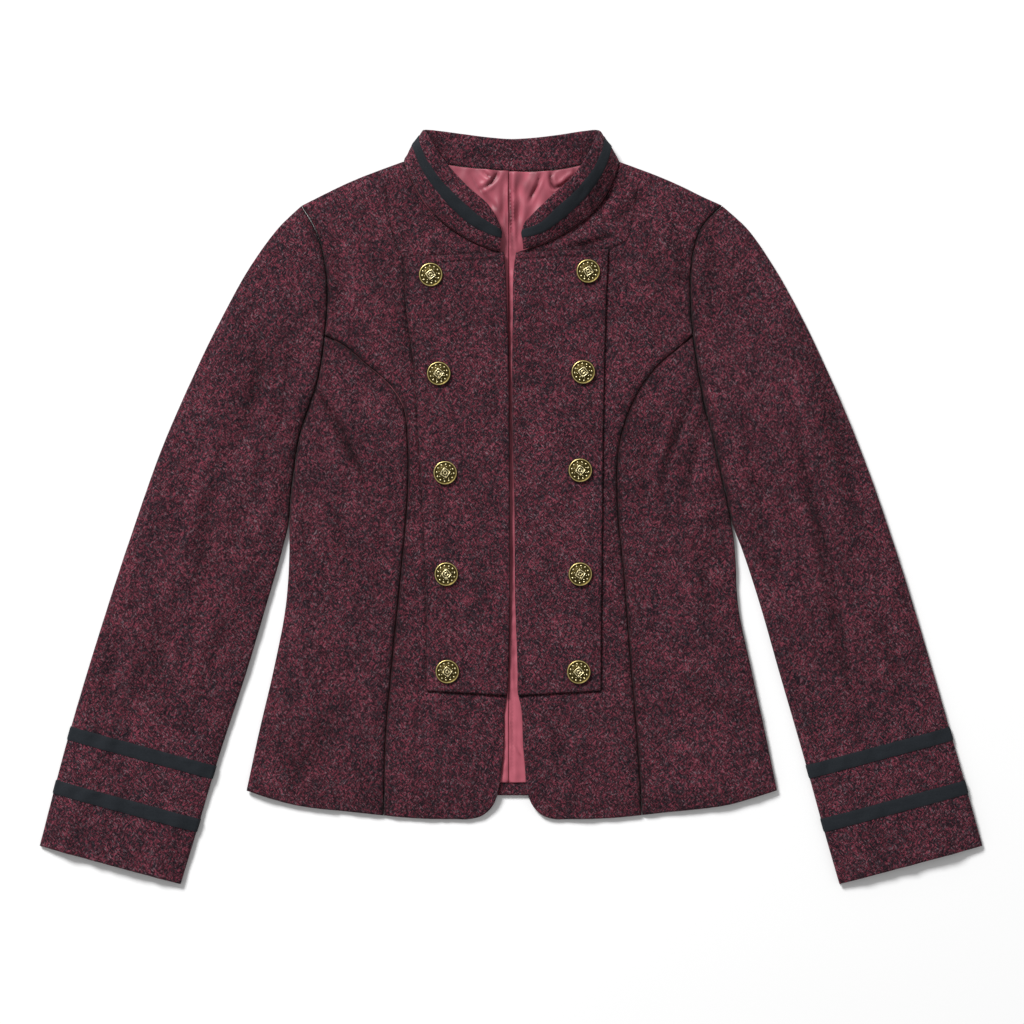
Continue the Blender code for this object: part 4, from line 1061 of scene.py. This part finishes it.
# Its size, its rings of beads (how many, angle of the first, ring's radius, height, bead's radius), the bars of
# its two lozenges (place and length), the beads at the lozenge's points, and the ground's height by radius
BUTTON_RADIUS, BUTTON_RIM, BAR_HEIGHT = 10.9, 1.6, 2.98
BUTTON_BEADS = [(12, 15.0, 7.75, 2.0, 0.92), (8, 22.5, 5.7, 2.45, 0.5)]
BUTTON_LOZENGES = [(2.35, 6.9), (1.0, 2.8)]
LOZENGE_POINTS = [(3.3, 0), (-3.3, 0), (0, 3.3), (0, -3.3)]
BUTTON_GROUND = [
    (1.35, 2.87), (2.95, 2.77), (4.75, 2.53), (6.35, 2.17), (7.55, 1.75), (8.55, 1.65), (9.25, 1.80),
    (9.55, 2.30), (10.3, 2.0),
]

# How far the buttons are turned, in degrees
BUTTON_LEANS = (-9.0, 4.0, 11.0, -3.0, 7.0, -12.0)


def bead(x, y, z, radius):
    place = (x * MM, y * MM, z * MM)
    bpy.ops.mesh.primitive_ico_sphere_add(subdivisions=2, radius=radius * MM, location=place)
    return chosen_object()


def model_button():
    """A domed button: a rolled rim, a groove, two rings of beads, and two lozenges on the dome."""
    middle = (0, 0, BUTTON_RIM / 2 * MM)
    bpy.ops.mesh.primitive_cylinder_add(vertices=72, radius=BUTTON_RADIUS * MM, depth=BUTTON_RIM * MM,
                                        location=middle)
    disc = chosen_object()
    bpy.ops.object.mode_set(mode="EDIT")
    bpy.ops.mesh.select_all(action="DESELECT")
    work = bmesh.from_edit_mesh(disc.data)
    for face in work.faces:
        face.select = face.normal.z > 0.9
    bmesh.update_edit_mesh(disc.data)
    for inset, lift in BUTTON_STEPS:
        bpy.ops.mesh.inset(thickness=inset * MM)
        bpy.ops.transform.translate(value=(0, 0, lift * MM))
    bpy.ops.mesh.poke()
    bpy.ops.object.mode_set(mode="OBJECT")
    parts = [disc]
    for count, first, ring, height, radius in BUTTON_BEADS:
        for k in range(count):
            angle = math.radians(360 / count * k + first)
            parts.append(bead(ring * math.cos(angle), ring * math.sin(angle), height, radius))
    corners = [(1, 1), (-1, 1), (-1, -1), (1, -1)]
    for (away, length), (x, y) in [(bars, corner) for bars in BUTTON_LOZENGES for corner in corners]:
        place = (x * away * MM, y * away * MM, BAR_HEIGHT * MM)
        bpy.ops.mesh.primitive_cube_add(size=1.0, location=place, rotation=(0, 0, math.radians(-45 * x * y)))
        bar = chosen_object()
        bar.scale = (length * MM, 0.75 * MM, 0.9 * MM)
        place_down(bar)
        bpy.ops.object.mode_set(mode="EDIT")
        bpy.ops.mesh.select_all(action="SELECT")
        bpy.ops.mesh.bevel(offset=0.24 * MM, segments=2, affect="EDGES")
        bpy.ops.object.mode_set(mode="OBJECT")
        parts.append(bar)
    parts += [bead(x, y, 2.85, 0.6) for x, y in LOZENGE_POINTS]
    button = join_all(parts)
    place_down(button)
    mesh = button.data
    points = np.array([v.co for v in mesh.vertices]) / MM
    radius = np.hypot(points[:, 0], points[:, 1])
    floor = np.interp(radius, *zip(*BUTTON_GROUND))
    rubbed = np.clip((points[:, 2] - floor - 0.02) / 0.45, 0.0, 1.0)
    rubbed[(radius > 9.9) & (radius < 10.5) & (points[:, 2] > 1.5)] = 0.85
    layer = mesh.attributes.new("rubbed", "FLOAT", "POINT")
    layer.data.foreach_set("value", rubbed.astype(np.float32))
    mesh.shade_smooth()
    mesh.set_sharp_from_angle(angle=math.radians(60))
    mesh.materials.clear()
    mesh.materials.append(BRASS)
    return button


def place_buttons():
    """A copy of the modelled button on each CAD button, each turned its own way."""
    model = model_button()
    for side in SIDES:
        for number in range(1, 6):
            node = f"button_{side}_{number}"
            low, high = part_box(node)
            mesh = model.data.copy()
            lean = BUTTON_LEANS[(number + len(side)) % len(BUTTON_LEANS)]
            turn = Matrix.Rotation(math.radians(lean), 4, "Z")
            centre = Vector(((low.x + high.x) / 2, (low.y + high.y) / 2, low.z))
            mesh.transform(Matrix.Translation(centre) @ turn)
            button = bpy.data.objects.new(f"{node}_brass", mesh)
            bpy.context.scene.collection.objects.link(button)
            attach(button, "root")
            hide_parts(node)
    bpy.data.objects.remove(model)


place_buttons()


# Floor, light and camera


def make_stage():
    bpy.ops.mesh.primitive_plane_add(size=14.0, location=(0, 0, -0.0002))
    floor = chosen_object()
    floor.name = "floor"
    look = Look("floor")
    look.constants({"Base Color": (0.93, 0.93, 0.93, 1.0), "Roughness": 0.9, "Specular IOR Level": 0.0})
    floor.data.materials.append(look.material)

    world = bpy.data.worlds.new("studio")
    world.use_nodes = True
    world.node_tree.nodes["Background"].inputs["Color"].default_value = (1.0, 1.0, 1.0, 1.0)
    world.node_tree.nodes["Background"].inputs["Strength"].default_value = 0.40
    bpy.context.scene.world = world

    lamp = bpy.data.lights.new("softbox", "AREA")
    lamp.shape = "DISK"
    lamp.size = 2.4
    lamp.energy = 800.0
    stand = bpy.data.objects.new("softbox", lamp)
    bpy.context.scene.collection.objects.link(stand)
    stand.location = (-3.4, 5.3, 4.8)
    stand.rotation_euler = Vector(stand.location).to_track_quat("Z", "Y").to_euler()


def make_camera():
    lens = bpy.data.cameras.new("camera")
    lens.sensor_width = 36.0
    lens.lens = 114.6
    camera = bpy.data.objects.new("camera", lens)
    bpy.context.scene.collection.objects.link(camera)
    camera.location = (0.92 * MM, -4.6 * MM, 3.0)
    camera.rotation_euler = (0.0, 0.0, 0.0)
    bpy.context.scene.camera = camera


make_stage()
make_camera()
bpy.context.scene.view_settings.view_transform = "Standard"
